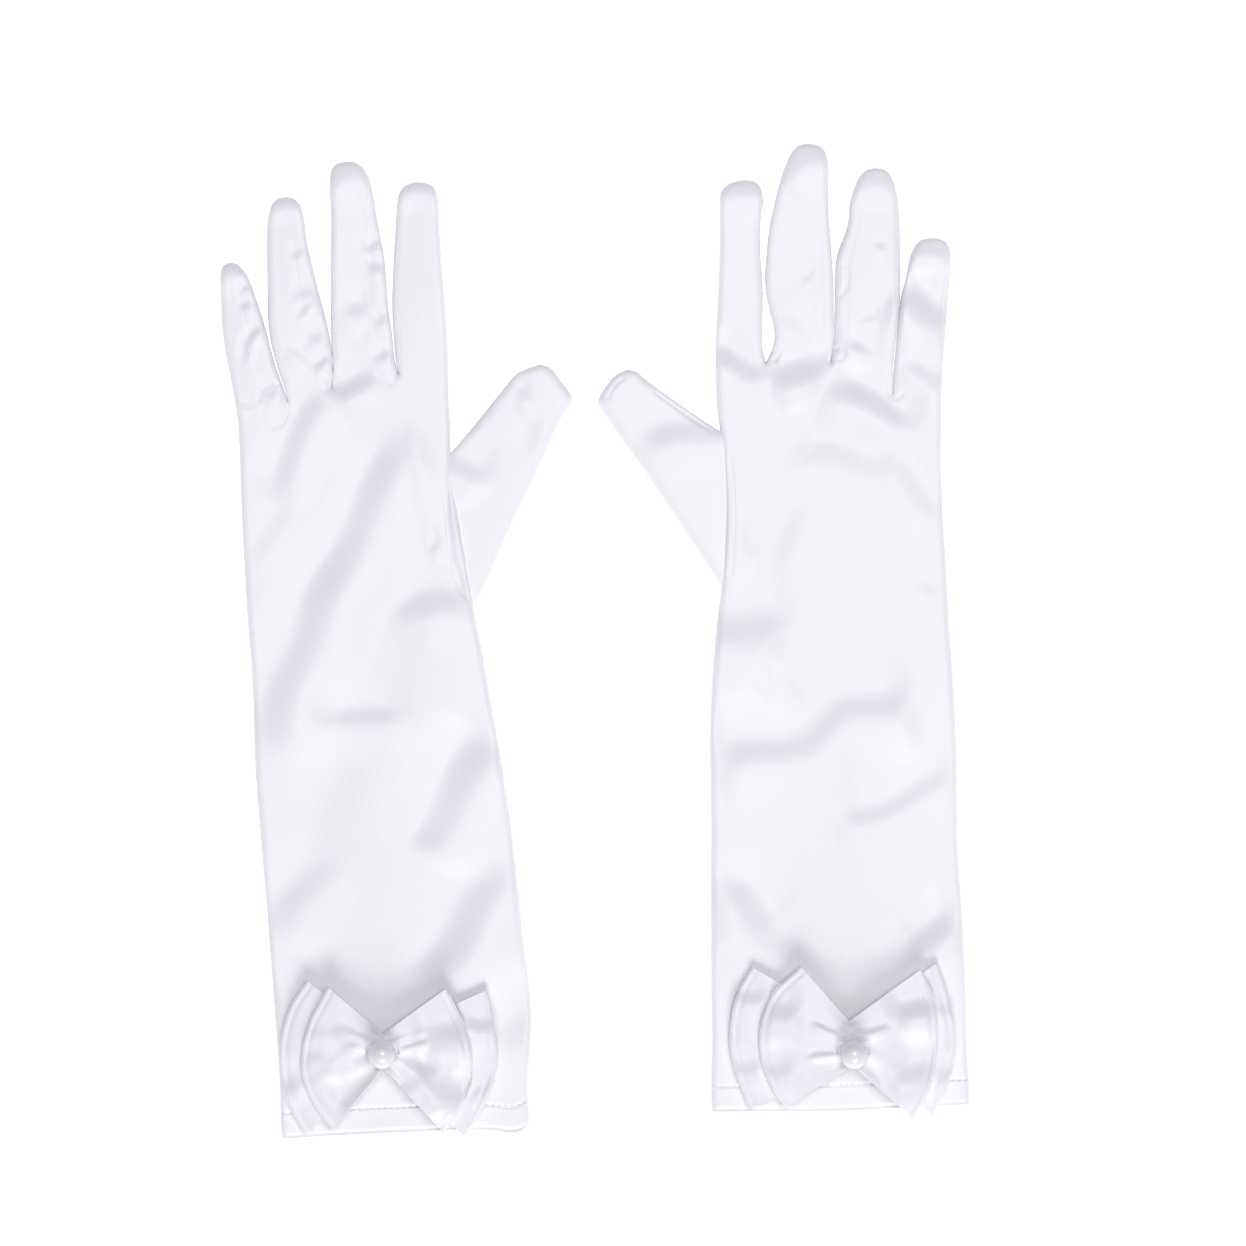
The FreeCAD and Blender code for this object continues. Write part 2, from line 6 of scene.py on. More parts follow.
import bpy
import numpy as np
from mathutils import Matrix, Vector


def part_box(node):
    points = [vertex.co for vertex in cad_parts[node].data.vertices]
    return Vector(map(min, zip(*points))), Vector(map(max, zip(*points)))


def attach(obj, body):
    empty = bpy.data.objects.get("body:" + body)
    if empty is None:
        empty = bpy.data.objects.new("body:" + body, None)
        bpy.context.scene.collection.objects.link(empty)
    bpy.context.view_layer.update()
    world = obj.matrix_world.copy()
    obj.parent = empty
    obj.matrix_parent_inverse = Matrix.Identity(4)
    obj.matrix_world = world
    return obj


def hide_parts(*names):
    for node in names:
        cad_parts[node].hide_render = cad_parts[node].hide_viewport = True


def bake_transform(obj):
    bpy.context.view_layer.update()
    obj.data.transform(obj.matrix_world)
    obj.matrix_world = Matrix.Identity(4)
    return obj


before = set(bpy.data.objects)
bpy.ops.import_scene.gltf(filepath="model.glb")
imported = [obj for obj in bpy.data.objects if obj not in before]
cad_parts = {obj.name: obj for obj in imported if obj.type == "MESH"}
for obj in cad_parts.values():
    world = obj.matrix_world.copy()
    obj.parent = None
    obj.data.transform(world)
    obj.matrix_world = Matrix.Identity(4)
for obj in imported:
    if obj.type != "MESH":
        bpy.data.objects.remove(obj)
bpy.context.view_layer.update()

# A pair of children's satin opera gloves, lying palm down side by side.
# Each glove is drawn in its own flat frame, in mm: origin at the middle of the hem, +Y up the
# arm, +X towards the thumb.  Lie turns that frame into the row frame, in metres.

MM = 0.001
UV_UNIT = 100.0           # one unit of a piece's UV map, in mm of cloth
ON_LINE = 0.001           # mm; closer than this to the outline counts as on it
LOG = logging.getLogger("gloves")

Line = tuple[tuple[float, float], ...]


class Side(Enum):
    """Which of the two gloves a piece is part of."""

    LEFT = "left"
    RIGHT = "right"


# ---------------------------------------------------------------------------- small geometry

def ease(share: np.ndarray) -> np.ndarray:
    """Smooth step from 0 to 1."""
    t = np.clip(share, 0.0, 1.0)
    return t * t * (3.0 - 2.0 * t)


def wave(xy: np.ndarray, across: float, along: float, shift: float = 0.0) -> np.ndarray:
    """Slow wave over the cloth; across and along are its runs in mm for one radian."""
    return np.sin(xy[:, 0] / across + xy[:, 1] / along + shift)


def crowded(count: int, share: float) -> np.ndarray:
    """Shares from 0 to 1 in that many steps, closer together at both ends by that share."""
    k = np.arange(count + 1) / count
    return share * 0.5 * (1 - np.cos(math.pi * k)) + (1 - share) * k


def flow(points: Line, per: int = 8) -> np.ndarray:
    """Smooth line through the points.

    Args:
        points: at least two points, in mm.
        per: how many steps each stretch is cut into.

    Returns:
        The points of the line, one per row.
    """
    p = np.asarray(points, float)
    q = np.vstack([2 * p[0] - p[1], p, 2 * p[-1] - p[-2]])
    t = np.linspace(0.0, 1.0, per, endpoint=False)[:, None]
    parts = []
    for a, b, c, d in zip(q, q[1:], q[2:], q[3:]):
        parts.append(0.5 * (2 * b + (c - a) * t + (2 * a - 5 * b + 4 * c - d) * t ** 2
                            + (3 * b - a - 3 * c + d) * t ** 3))
    return np.vstack(parts + [p[-1:]])


def at_shares(line: np.ndarray, shares: np.ndarray) -> np.ndarray:
    """Points at the given shares of the line's length."""
    length = np.r_[0.0, np.cumsum(np.linalg.norm(np.diff(line, axis=0), axis=1))]
    return np.stack([np.interp(shares * length[-1], length, line[:, k]) for k in (0, 1)], axis=-1)


@dataclass
class Near:
    """Where points lie against a line: how far, on which side, how far along, and the foot."""

    far: np.ndarray
    side: np.ndarray
    share: np.ndarray
    foot: np.ndarray


BATCH = 2500              # points compared with the line at once, to spare memory


def near(xy: np.ndarray, starts: np.ndarray, ends: np.ndarray) -> Near:
    """Nearest place on a set of straight stretches, for each point.

    Args:
        xy: points, one per row.
        starts: start of each stretch.
        ends: end of each stretch.

    Returns:
        Distances, signs (1 to the left of the line), shares of the length, and feet.
    """
    run = ends - starts
    square = np.maximum((run ** 2).sum(1), 1e-12)
    length = np.sqrt(square)
    before = np.r_[0.0, np.cumsum(length)]
    far, side, share = np.empty(len(xy)), np.empty(len(xy)), np.empty(len(xy))
    foot = np.empty((len(xy), 2))
    for low in range(0, len(xy), BATCH):
        p = xy[low:low + BATCH, None]
        t = np.clip(((p - starts) * run).sum(2) / square, 0.0, 1.0)
        feet = starts + t[..., None] * run
        gap = p - feet
        square_far = (gap ** 2).sum(2)
        k = square_far.argmin(1)
        row = np.arange(len(k))
        part = slice(low, low + len(k))
        far[part] = np.sqrt(square_far[row, k])
        g, r = gap[row, k], run[k]
        side[part] = np.where(r[:, 0] * g[:, 1] - r[:, 1] * g[:, 0] >= 0, 1.0, -1.0)
        share[part] = (before[k] + t[row, k] * length[k]) / before[-1]
        foot[part] = feet[row, k]
    return Near(far, side, share, foot)


# ---------------------------------------------------------------------------- cloth relief

@dataclass(frozen=True)
class Fold:
    """A soft fold. The cloth steps down across the line, on the side turned from the light."""

    line: Line
    drop: float
    width: float
    taper: float = 0.3
    wander: float = 0.07      # how far it strays from its line, as a share of its width
    swing: float = 0.22       # how much its drop varies along the line
    reach: float = 2.0        # widths from the line within which it is felt
    flat_out: float = 1.1     # how softly the cloth levels out beside it

    def relief(self, xy: np.ndarray, away: np.ndarray) -> np.ndarray:
        """Height that the fold adds.

        Args:
            xy: flat places, in mm.
            away: direction that the cloth falls in, away from the light.

        Returns:
            The height at each place, in mm.
        """
        line = flow(self.line)
        # Bent a little by slow waves, so that no fold has ruled edges.
        bent = np.column_stack([wave(xy, 9.7, 6.1), wave(xy, 5.3, -8.9)])
        xy = xy + self.wander * self.width * bent
        reach = self.reach * self.width
        held = np.all((xy > line.min(0) - reach) & (xy < line.max(0) + reach), axis=1)
        height = np.zeros(len(xy))
        if not held.any():
            return height
        found = near(xy[held], line[:-1], line[1:])
        chord = line[-1] - line[0]
        turn = 1.0 if -chord[1] * away[0] + chord[0] * away[1] >= 0 else -1.0
        run = self.taper * np.linalg.norm(np.diff(line, axis=0), axis=1).sum()
        strength = 1.0 + self.swing * wave(xy[held], 8.3, 11.0)
        for end, inner in ((line[0], line[3]), (line[-1], line[-4])):
            inward = (inner - end) / np.linalg.norm(inner - end)
            strength *= ease((xy[held] - end) @ inward / run)
        # Where a fold is weak it is narrow as well.
        width = self.width * 0.6 * (1.0 + np.sqrt(strength))
        t = turn * found.side * found.far / width
        step = np.where(np.abs(t) < 0.5, -0.5 * np.sin(math.pi * t),
                        -0.5 * np.sign(t) * (1.0 - ease((np.abs(t) - 0.5) / self.flat_out)))
        height[held] = self.drop * step * strength
        return height


@dataclass(frozen=True)
class Crease:
    """A narrow line pressed or sewn into the cloth; a negative depth makes a welt."""

    line: Line
    depth: float
    width: float
    taper: float = 0.12
    reach: float = 3.0

    def relief(self, xy: np.ndarray, away: np.ndarray) -> np.ndarray:
        """Height that the crease adds.

        Args:
            xy: flat places, in mm.
            away: not used; a crease looks the same from both sides.

        Returns:
            The height at each place, in mm.
        """
        line = flow(self.line)
        reach = self.reach * self.width
        held = np.all((xy > line.min(0) - reach) & (xy < line.max(0) + reach), axis=1)
        height = np.zeros(len(xy))
        if held.any():
            found = near(xy[held], line[:-1], line[1:])
            strength = ease(found.share / self.taper) * ease((1.0 - found.share) / self.taper)
            height[held] = -self.depth * np.exp(-(found.far / self.width) ** 2) * strength
        return height


Marks = tuple[Fold | Crease, ...]


@dataclass
class Skin:
    """Cloth of a flat-lying glove: an upper and a lower layer that meet along the outline."""

    starts: np.ndarray
    ends: np.ndarray
    marks: Marks
    away: np.ndarray
    arm_level: float = 3.6
    tip_level: float = 2.8
    arm_rise: float = 3.6
    tip_rise: float = 2.5
    hem_drop: float = 0.4     # the cuff lies lower at its mouth
    hem_run: float = 5.0
    thin_from: float = 130.0  # height above the hem where the glove starts to get thinner
    thin_run: float = 110.0
    rest: float = 0.25
    swell: float = 0.35       # height of the slow waves of cloth that lies unpressed
    bend: float = 3.0         # power of the superellipse that rounds the sides
    slope_step: float = 0.12
    steepest: float = 1.5     # a steeper slope comes from a seam's end, and is left out
    probe: float = 0.05

    def thinning(self, y: np.ndarray) -> np.ndarray:
        """Share of the way from the sleeve's thickness to the fingers'."""
        return ease((y - self.thin_from) / self.thin_run)

    def level(self, y: np.ndarray) -> np.ndarray:
        """Height of the outline over the table."""
        return self.arm_level + (self.tip_level - self.arm_level) * self.thinning(y)

    def rise(self, xy: np.ndarray) -> np.ndarray:
        """Height of the upper layer over the outline, folds and all.

        Args:
            xy: flat places, in mm.

        Returns:
            The height at each place, in mm.
        """
        y = xy[:, 1]
        height = self.arm_rise + (self.tip_rise - self.arm_rise) * self.thinning(y)
        height -= self.hem_drop * np.exp(-np.maximum(y, 0.0) / self.hem_run)
        height += self.swell * (wave(xy, 11.0, 27.0) * wave(xy, math.inf, 19.0, 0.7)
                                + 0.6 * wave(xy, 7.3, -15.0, 1.9))
        for mark in self.marks:
            height += mark.relief(xy, self.away)
        return height

    def layer(self, xy: np.ndarray, hint: np.ndarray, rim: np.ndarray, radius: np.ndarray,
              scale: np.ndarray, upper: bool) -> tuple[np.ndarray, np.ndarray]:
        """Place and normal of each point of one layer.

        Args:
            xy: flat places, in mm.
            hint: a direction into the cloth, used on the outline itself.
            rim: which places are on the rim that both layers share.
            radius: how far in from the outline the cloth is rounded.
            scale: share of the full rise, for thin pieces.
            upper: the upper layer, or the lower one.

        Returns:
            Points and unit normals, three numbers each.
        """
        found = near(xy, self.starts, self.ends)
        edge = rim | (found.far < ON_LINE)
        probe = xy.copy()
        probe[edge] += self.probe * hint[edge]
        again = near(probe[edge], self.starts, self.ends) if edge.any() else None
        inward = (xy - found.foot) / np.maximum(found.far, 1e-9)[:, None]
        if again is not None:
            inward[edge] = (probe[edge] - again.foot) / np.maximum(again.far, 1e-9)[:, None]
        # The rounding is a superellipse: flat on top, quick at the side.
        bend = self.bend
        inset = np.clip(1.0 - np.where(edge, 0.0, found.far) / radius, 0.0, 1.0)
        lift = (1.0 - inset ** bend) ** (1.0 / bend)
        level = self.level(xy[:, 1])
        if upper:
            height = self.rise(xy) * scale
            step = self.slope_step
            slope = np.stack([
                (self.rise(xy + (step, 0)) * scale - height) / step,
                (self.rise(xy + (0, step)) * scale - height) / step], axis=-1)
            slope[np.abs(slope).max(axis=1) > self.steepest] = 0.0
        else:
            height = -(level - self.rest)
            slope = np.zeros_like(xy)
        z = level + height * lift
        flat = (-(radius * lift ** bend)[:, None] * slope
                - (np.abs(height) * inset ** (bend - 1))[:, None] * inward)
        up = radius * lift ** (bend - 1) * (1.0 if upper else -1.0)
        normal = np.column_stack([flat, up])
        normal /= np.maximum(np.linalg.norm(normal, axis=1), 1e-9)[:, None]
        return np.column_stack([xy, z]), normal


# ---------------------------------------------------------------------------- meshes

@dataclass(frozen=True)
class Lie:
    """How one glove lies in the row frame."""

    x: float
    y: float
    tilt: float
    mirrored: bool

    def axes(self) -> np.ndarray:
        """The glove's own axes in the row frame, one per row."""
        c, s = math.cos(math.radians(self.tilt)), math.sin(math.radians(self.tilt))
        sign = -1.0 if self.mirrored else 1.0
        return np.array([[sign * c, sign * s, 0.0], [-s, c, 0.0], [0.0, 0.0, 1.0]])

    def turn(self, vectors: np.ndarray) -> np.ndarray:
        """Directions of the glove's frame, in the row frame."""
        return vectors @ self.axes()

    def own(self, points: np.ndarray) -> np.ndarray:
        """Points of the row frame in mm, in the glove's own frame."""
        return (points - np.array([self.x, self.y, 0.0])) @ self.axes().T

    def place(self, points: np.ndarray) -> np.ndarray:
        """Points of the glove's frame in mm, in the row frame in metres."""
        return (self.turn(points) + np.array([self.x, self.y, 0.0])) * MM

    def spot(self, x: float, y: float, z: float) -> Vector:
        """One point of the glove's frame in mm, in the row frame in metres."""
        return Vector(self.place(np.array([x, y, z], float)))


@dataclass
class Cloth:
    """A patch of cloth as points, normals and cells, before it gets its thickness."""

    points: np.ndarray
    normals: np.ndarray
    uv: np.ndarray
    cells: np.ndarray

    def part(self, held: np.ndarray) -> "Cloth":
        """The same cloth with only some of its cells."""
        return Cloth(self.points, self.normals, self.uv, self.cells[held])


def join(patches: list[Cloth]) -> Cloth:
    """One patch out of several."""
    shift = np.cumsum([0] + [len(p.points) for p in patches])
    return Cloth(np.vstack([p.points for p in patches]), np.vstack([p.normals for p in patches]),
                 np.vstack([p.uv for p in patches]),
                 np.vstack([p.cells + s for p, s in zip(patches, shift)]))


def grid_cells(rows: int, columns: int, turned: bool = False) -> np.ndarray:
    """Corners of the cells of a grid of points.

    Args:
        rows: how many rows of points.
        columns: how many points in a row.
        turned: whether the cells face down instead of up.

    Returns:
        Four point numbers per cell.
    """
    first = (np.arange(rows - 1)[:, None] * columns + np.arange(columns - 1)).ravel()
    cells = np.column_stack([first, first + 1, first + columns + 1, first + columns])
    return cells[:, ::-1] if turned else cells


def smooth_normals(points: np.ndarray, cells: np.ndarray) -> np.ndarray:
    """Normals of a patch from its own cells.

    Args:
        points: the points.
        cells: four point numbers per cell.

    Returns:
        A unit normal for each point.
    """
    a, b, c, d = (points[cells[:, k]] for k in range(4))
    face = np.cross(c - a, d - b)
    normals = np.zeros_like(points)
    for k in range(4):
        np.add.at(normals, cells[:, k], face)
    return normals / np.maximum(np.linalg.norm(normals, axis=1), 1e-12)[:, None]


def cloth_object(name: str, cloth: Cloth, lie: Lie, thick: float,
                 finish: bpy.types.Material) -> bpy.types.Object:
    """Mesh of a patch of cloth with its real thickness, its rims closed.

    Args:
        name: the piece's name.
        cloth: the patch, its normals outward.
        lie: how the glove lies.
        thick: thickness of the cloth in mm, inward from the patch.
        finish: the material.

    Returns:
        The object, at the origin, with its place in the mesh.
    """
    used, back = np.unique(cloth.cells, return_inverse=True)
    points, normals, uv = cloth.points[used], cloth.normals[used], cloth.uv[used]
    # Both layers have the rim's points, so they are welded there.
    _, first, weld = np.unique(np.round(points, 4), axis=0, return_index=True, return_inverse=True)
    cells = weld.ravel()[back.reshape(cloth.cells.shape)]
    points, normals, uv = points[first], normals[first], uv[first]
    if lie.mirrored:
        cells = cells[:, ::-1]
    faces, corner_normals, corner_uv = [], [], []
    count = len(points)
    edges = {}                # a dict, because it keeps their order
    for cell in cells.tolist():
        ring = [v for i, v in enumerate(cell) if v != cell[i - 1]]
        if len(set(ring)) < 3:
            continue
        faces.append(ring)
        for a, b in zip(ring, ring[1:] + ring[:1]):
            edges[(a, b)] = None
    outer = lie.place(points)
    turned = lie.turn(normals)
    inner = outer - turned * thick * MM
    for ring in list(faces):
        corner_normals += [turned[v] for v in ring]
        corner_uv += [uv[v] for v in ring]
    for ring in list(faces):
        flipped = [v + count for v in reversed(ring)]
        faces.append(flipped)
        corner_normals += [-turned[v - count] for v in flipped]
        corner_uv += [uv[v - count] for v in flipped]
    for a, b in edges:
        if (b, a) not in edges:
            faces.append([b, a, a + count, b + count])
            along, down = outer[a] - outer[b], inner[a] - outer[a]
            side = np.cross(along, down)
            side = side / max(np.linalg.norm(side), 1e-15)
            corner_normals += [side] * 4
            corner_uv += [uv[b], uv[a], uv[a], uv[b]]
    mesh = bpy.data.meshes.new(name)
    mesh.from_pydata(np.vstack([outer, inner]).tolist(), [], faces)
    layer = mesh.uv_layers.new(name="cut")
    layer.data.foreach_set("uv", np.asarray(corner_uv, np.float32).ravel())
    mesh.polygons.foreach_set("use_smooth", [True] * len(mesh.polygons))
    mesh.normals_split_custom_set(np.asarray(corner_normals, float).tolist())
    mesh.materials.append(finish)
    piece = bpy.data.objects.new(name, mesh)
    bpy.context.scene.collection.objects.link(piece)
    return piece


# ---------------------------------------------------------------------------- finishes

def linear(hex_colour: str) -> tuple[float, float, float, float]:
    """Linear colour, with alpha, from an sRGB hex colour such as 'f4f4f9'."""
    channels = [int(hex_colour[i:i + 2], 16) / 255 for i in (0, 2, 4)]
    return (*((c / 12.92 if c <= 0.04045 else ((c + 0.055) / 1.055) ** 2.4) for c in channels), 1.0)


def add_node(tree: bpy.types.NodeTree, kind: str, settings: dict | None = None,
             links: dict | None = None) -> bpy.types.Node:
    """Add one node.

    Args:
        tree: the node tree.
        kind: the node's type.
        settings: values by input name or number, or by property name.
        links: output sockets by the name or number of the input they feed.

    Returns:
        The node.
    """
    node = tree.nodes.new(kind)
    for name, setting in (settings or {}).items():
        if isinstance(name, int) or name in node.inputs:
            node.inputs[name].default_value = setting
        else:
            setattr(node, name, setting)
    for name, socket in (links or {}).items():
        tree.links.new(socket, node.inputs[name])
    return node


WAVE_RUN = 2 * math.pi / 20   # one band of a Wave Texture of scale 1, in texture units
RIB_COLOUR, RIB_GROOVE_SHADE = 7, 6     # the Mix node's two colour inputs: the cloth's colour, and painted shade for the rib grooves


@dataclass(frozen=True)
class Satin:
    """White polyester charmeuse, knitted with fine ribs that run down the glove."""

    # Long smooth floats of filament give broad, milky highlights that stretch across the ribs,
    # and grey-blue hollows where a fold turns from the light. The ribs show as faint stripes: a
    # bump, and painted shade that darkens the colour in their grooves.
    name: str
    colour: str
    # colour painted into the rib grooves as their shade
    painted_groove_shade: str
    roughness: float = 0.42
    stretch: float = 0.45     # how much longer a highlight is across the ribs than along them
    rib_mm: float = 0.8       # the real ribs are 0.55 mm apart; drawn coarser so they still show
    rib_depth: float = 0.16
    rib_height: float = 0.00012
    wobble: float = 0.35      # ribs of a knit aren't ruled
    wobble_size: float = 0.6
    index: float = 1.46

    def build(self) -> bpy.types.Material:
        """Make the material.

        Returns:
            The material, which reads the piece's UV map.
        """
        made = bpy.data.materials.new(self.name)
        made.use_nodes = True
        tree = made.node_tree
        tree.nodes.clear()
        cut = add_node(tree, "ShaderNodeUVMap", {"uv_map": "cut"})
        ribs = add_node(tree, "ShaderNodeTexWave", {
            "wave_type": "BANDS", "bands_direction": "X", "wave_profile": "SIN",
            "Scale": WAVE_RUN * UV_UNIT / self.rib_mm, "Distortion": self.wobble, "Detail": 1.0,
            "Detail Scale": self.wobble_size}, {"Vector": cut.outputs["UV"]})
        # Painted shade: the colour darkens towards the groove colour where the ribs' bump is lowest.
        groove_shaded = add_node(tree, "ShaderNodeMix", {
            "data_type": "RGBA", RIB_GROOVE_SHADE: linear(self.painted_groove_shade), RIB_COLOUR: linear(self.colour)},
            {0: ribs.outputs["Color"]})
        bump = add_node(tree, "ShaderNodeBump", {
            "Strength": self.rib_depth, "Distance": self.rib_height},
            {"Height": ribs.outputs["Fac"]})
        satin = add_node(tree, "ShaderNodeBsdfPrincipled", {
            "Roughness": self.roughness, "IOR": self.index, "Anisotropic": self.stretch},
            {"Base Color": groove_shaded.outputs[2], "Normal": bump.outputs["Normal"]})
        add_node(tree, "ShaderNodeOutputMaterial", {}, {"Surface": satin.outputs["BSDF"]})
        return made


@dataclass(frozen=True)
class Plain:
    """A finish of one colour: pearl lacquer, sewing thread or the studio floor."""

    name: str
    colour: str
    roughness: float
    coat: float = 0.0         # share of a clear, glossy top layer
    coat_roughness: float = 0.06
    index: float = 1.5
    glow: float = 0.0

    def build(self) -> bpy.types.Material:
        """Make the material.

        Returns:
            The material.
        """
        made = bpy.data.materials.new(self.name)
        made.use_nodes = True
        tree = made.node_tree
        tree.nodes.clear()
        body = add_node(tree, "ShaderNodeBsdfPrincipled", {
            "Base Color": linear(self.colour), "Roughness": self.roughness,
            "Coat Weight": self.coat, "Coat Roughness": self.coat_roughness, "IOR": self.index,
            "Emission Color": linear(self.colour), "Emission Strength": self.glow})
        add_node(tree, "ShaderNodeOutputMaterial", {}, {"Surface": body.outputs["BSDF"]})
        return made


@dataclass
class Finishes:
    """Every material of the gloves."""

    satin: bpy.types.Material
    bow: bpy.types.Material
    thread: bpy.types.Material
    pearl: bpy.types.Material


# ---------------------------------------------------------------------------- pattern

@dataclass(frozen=True)
class FingerCut:
    """Outline of one finger, its two sides from the root to the tip, and its side strips."""

    name: str
    little_side: Line
    thumb_side: Line
    strips: tuple[tuple[str, int, float], ...]   # node suffix, side (1 is the thumb's), share


@dataclass(frozen=True)
class LoopCut:
    """One half of a bow: its end fold from bottom to top, and where it is pinched."""

    fold: Line
    pinch: Line
    level: float
    marks: Marks


@dataclass(frozen=True)
class Pattern:
    """Everything measured on one glove."""

    side: Side
    lie: Lie
    little_edge: Line
    thumb_edge: Line
    hem: Line
    fingers: tuple[FingerCut, ...]
    thumb_low: Line
    thumb_high: Line
    marks: Marks
    thumb_marks: Marks
    loops: dict[str, tuple[LoopCut, LoopCut]]
    pinch_centre: tuple[float, float]
    pinch_half: float

    @property
    def away(self) -> np.ndarray:
        """Direction that the folds fall in: up the arm, and a little to the left of the pair."""
        return np.array([0.22 if self.lie.mirrored else -0.22, 0.975])


SEAM_START, SEAM_END = 0.02, 0.8      # shares of a finger between which its seams are pressed in
SEAM_POINTS = 14
SEAM_DEPTH, SEAM_WIDTH = 0.05, 0.4


def seam_marks(cut: FingerCut) -> list[Crease]:
    """Creases where a finger's side strips are sewn in.

    Args:
        cut: the finger.

    Returns:
        One crease for each strip.
    """
    low, high = flow(cut.little_side), flow(cut.thumb_side)
    shares = np.linspace(SEAM_START, SEAM_END, SEAM_POINTS)
    marks = []
    for _, side, share in cut.strips:
        across = share if side < 0 else 1.0 - share
        line = at_shares(low, shares) * (1 - across) + at_shares(high, shares) * across
        marks.append(Crease(tuple(map(tuple, line)), SEAM_DEPTH, SEAM_WIDTH))
    return marks


# ---------------------------------------------------------------------------- glove pieces

FINGER_COLUMNS = 24
FINGER_ROWS = 72
FINGER_CROWD = 0.82       # how far a finger's columns crowd towards its rounded sides
THUMB_COLUMNS = 40
THUMB_ROWS = 66
THUMB_CROWD = 0.75
BODY_ROWS = 220
HEM_ROWS = 28
SIDE_COLUMNS = 7          # columns that turn round each side of the sleeve
UNDER_UV = (1.0, 0)       # the lower layer's ribs are read from beside the upper layer's


@dataclass
class Glove:
    """One glove: builds its pieces and dresses them."""

    pattern: Pattern
    finishes: Finishes
    cloth_thick: float = 0.4
    edge_round: float = 2.7   # how far in from its outline the glove is rounded
    thumb_round: float = 4.6
    arm_long: float = 230.0   # hem to finger roots
    cuff_wide: float = 76.0
    wrist_y: float = 152.0
    wrist_reach: float = 15.0
    hem_wide: float = 8.5
    hem_rows_to: float = 9.6  # the rows are closer together up to here
    hem_fade: float = 14.0    # the hem's own curve has died out this far up
    hem_gap: float = 0.12
    stitch_share: float = 0.93    # how far up the turned hem its stitches run
    fold_height: float = 3.6  # heights of the fold lines over the table
    root_height: float = 3.2
    thumb_height: float = 2.9
    root_start: float = 2.6   # a stretch past a finger's root
    root_end: float = 11.0
    strip_share: float = 0.82     # length of a side strip as a share of the finger's
    strip_under: float = 0.34     # share of a finger's underside that a strip reaches
    steady_share: float = 0.8     # a finger counts as full wide up to here
    key: str = field(init=False)
    low: np.ndarray = field(init=False)
    high: np.ndarray = field(init=False)
    skin: Skin = field(init=False)
    thumb_skin: Skin = field(init=False)
    top_at: np.ndarray = field(init=False)

    def __post_init__(self) -> None:
        """Put the outline and the marks of the whole glove together."""
        p = self.pattern
        self.key = p.side.value
        self.low, self.high = flow(p.little_edge), flow(p.thumb_edge)
        lines = [self.low, self.high]
        for cut in p.fingers:
            lines += [flow(cut.little_side), flow(cut.thumb_side)]
        marks = list(p.marks) + [m for cut in p.fingers for m in seam_marks(cut)]
        # The hem's pressed edge, and the dent that its stitches draw in.
        for lift, depth, width in ((0.9, 0.32, 0.6), (self.stitch_y, 0.3, 0.55)):
            line = tuple((x, y + lift) for x, y in p.hem)
            marks.append(Crease(line, depth, width, taper=0.04))
        self.skin = Skin(np.vstack([l[:-1] for l in lines]), np.vstack([l[1:] for l in lines]),
                         tuple(marks), p.away)
        thumb = [flow(p.thumb_low), flow(p.thumb_high)]
        self.thumb_skin = Skin(np.vstack([l[:-1] for l in thumb]),
                               np.vstack([l[1:] for l in thumb]), p.thumb_marks, p.away,
                               arm_level=2.9, tip_level=2.9, arm_rise=2.35, tip_rise=2.35,
                               hem_drop=0.0, rest=0.5, swell=0.12)

    @property
    def stitch_y(self) -> float:
        """Height of the hem's stitches above the hem."""
        return self.hem_wide * self.stitch_share

    # ------------------------------------------------------------------ sheets
    def sheet(self, skin: Skin, flat: np.ndarray, uv: np.ndarray, radius: np.ndarray,
              scale: np.ndarray, upper: bool) -> Cloth:
        """One layer over a grid of flat places.

        Args:
            skin: the cloth that it is part of.
            flat: flat places in mm, rows from the root outward.
            uv: place of each point on the cut cloth.
            radius: how far in from the outline each row is rounded.
            scale: share of the full rise of each row.
            upper: the upper layer, or the lower one.

        Returns:
            The layer.
        """
        rows, columns = flat.shape[:2]
        middle = flat.mean(axis=1, keepdims=True)
        hint = middle - flat
        # A finger's last row is a single point, so there the way in is back down the finger.
        hint[-1] += flat[-4].mean(axis=0) - flat[-1]
        hint /= np.maximum(np.linalg.norm(hint, axis=2), 1e-6)[..., None]
        rim = np.zeros((rows, columns), bool)
        rim[:, [0, -1]] = True
        rim[-1] |= np.linalg.norm(flat[-1] - flat[-1, 0], axis=1).max() < ON_LINE
        points, normals = skin.layer(flat.reshape(-1, 2), hint.reshape(-1, 2), rim.ravel(),
                                     np.repeat(radius, columns), np.repeat(scale, columns), upper)
        return Cloth(points, normals, uv.reshape(-1, 2), grid_cells(rows, columns, not upper))

    def root_row(self) -> np.ndarray:
        """Places along the line where the fingers start.

        Returns:
            Flat places, from the little finger's side to the thumb's.
        """
        shares = crowded(FINGER_COLUMNS, FINGER_CROWD)[:, None]
        row = []
        for cut in self.pattern.fingers:
            a, b = np.array(cut.little_side[0]), np.array(cut.thumb_side[0])
            row.append((a * (1 - shares) + b * shares)[:-1])
        return np.vstack(row + [np.array([self.pattern.fingers[-1].thumb_side[0]])])

    def row_shares(self) -> np.ndarray:
        """Rows of the sleeve and hand, as shares of the way up; closer together over the hem."""
        hem_share = self.hem_rows_to / self.arm_long
        return np.r_[np.linspace(0, hem_share, HEM_ROWS)[:-1],
                     np.linspace(hem_share, 1, BODY_ROWS - HEM_ROWS + 1)]

    def body_flat(self) -> np.ndarray:
        """Flat places of the sleeve and hand.

        Returns:
            A grid of places in mm, rows from the hem up to the finger roots.
        """
        root = self.root_row()
        count = len(root)
        t = self.row_shares()
        left, right = at_shares(self.low, t), at_shares(self.high, t)
        chord = right[-1] - left[-1]
        at_root = (root - left[-1]) @ chord / (chord @ chord)
        turn = np.linspace(0, math.pi / 2, SIDE_COLUMNS)
        band = self.edge_round * (1 - np.cos(turn)) / self.cuff_wide
        between = np.linspace(band[-1], 1 - band[-1], count - 2 * SIDE_COLUMNS + 2)[1:-1]
        even = np.r_[band, between, 1 - band[::-1]]
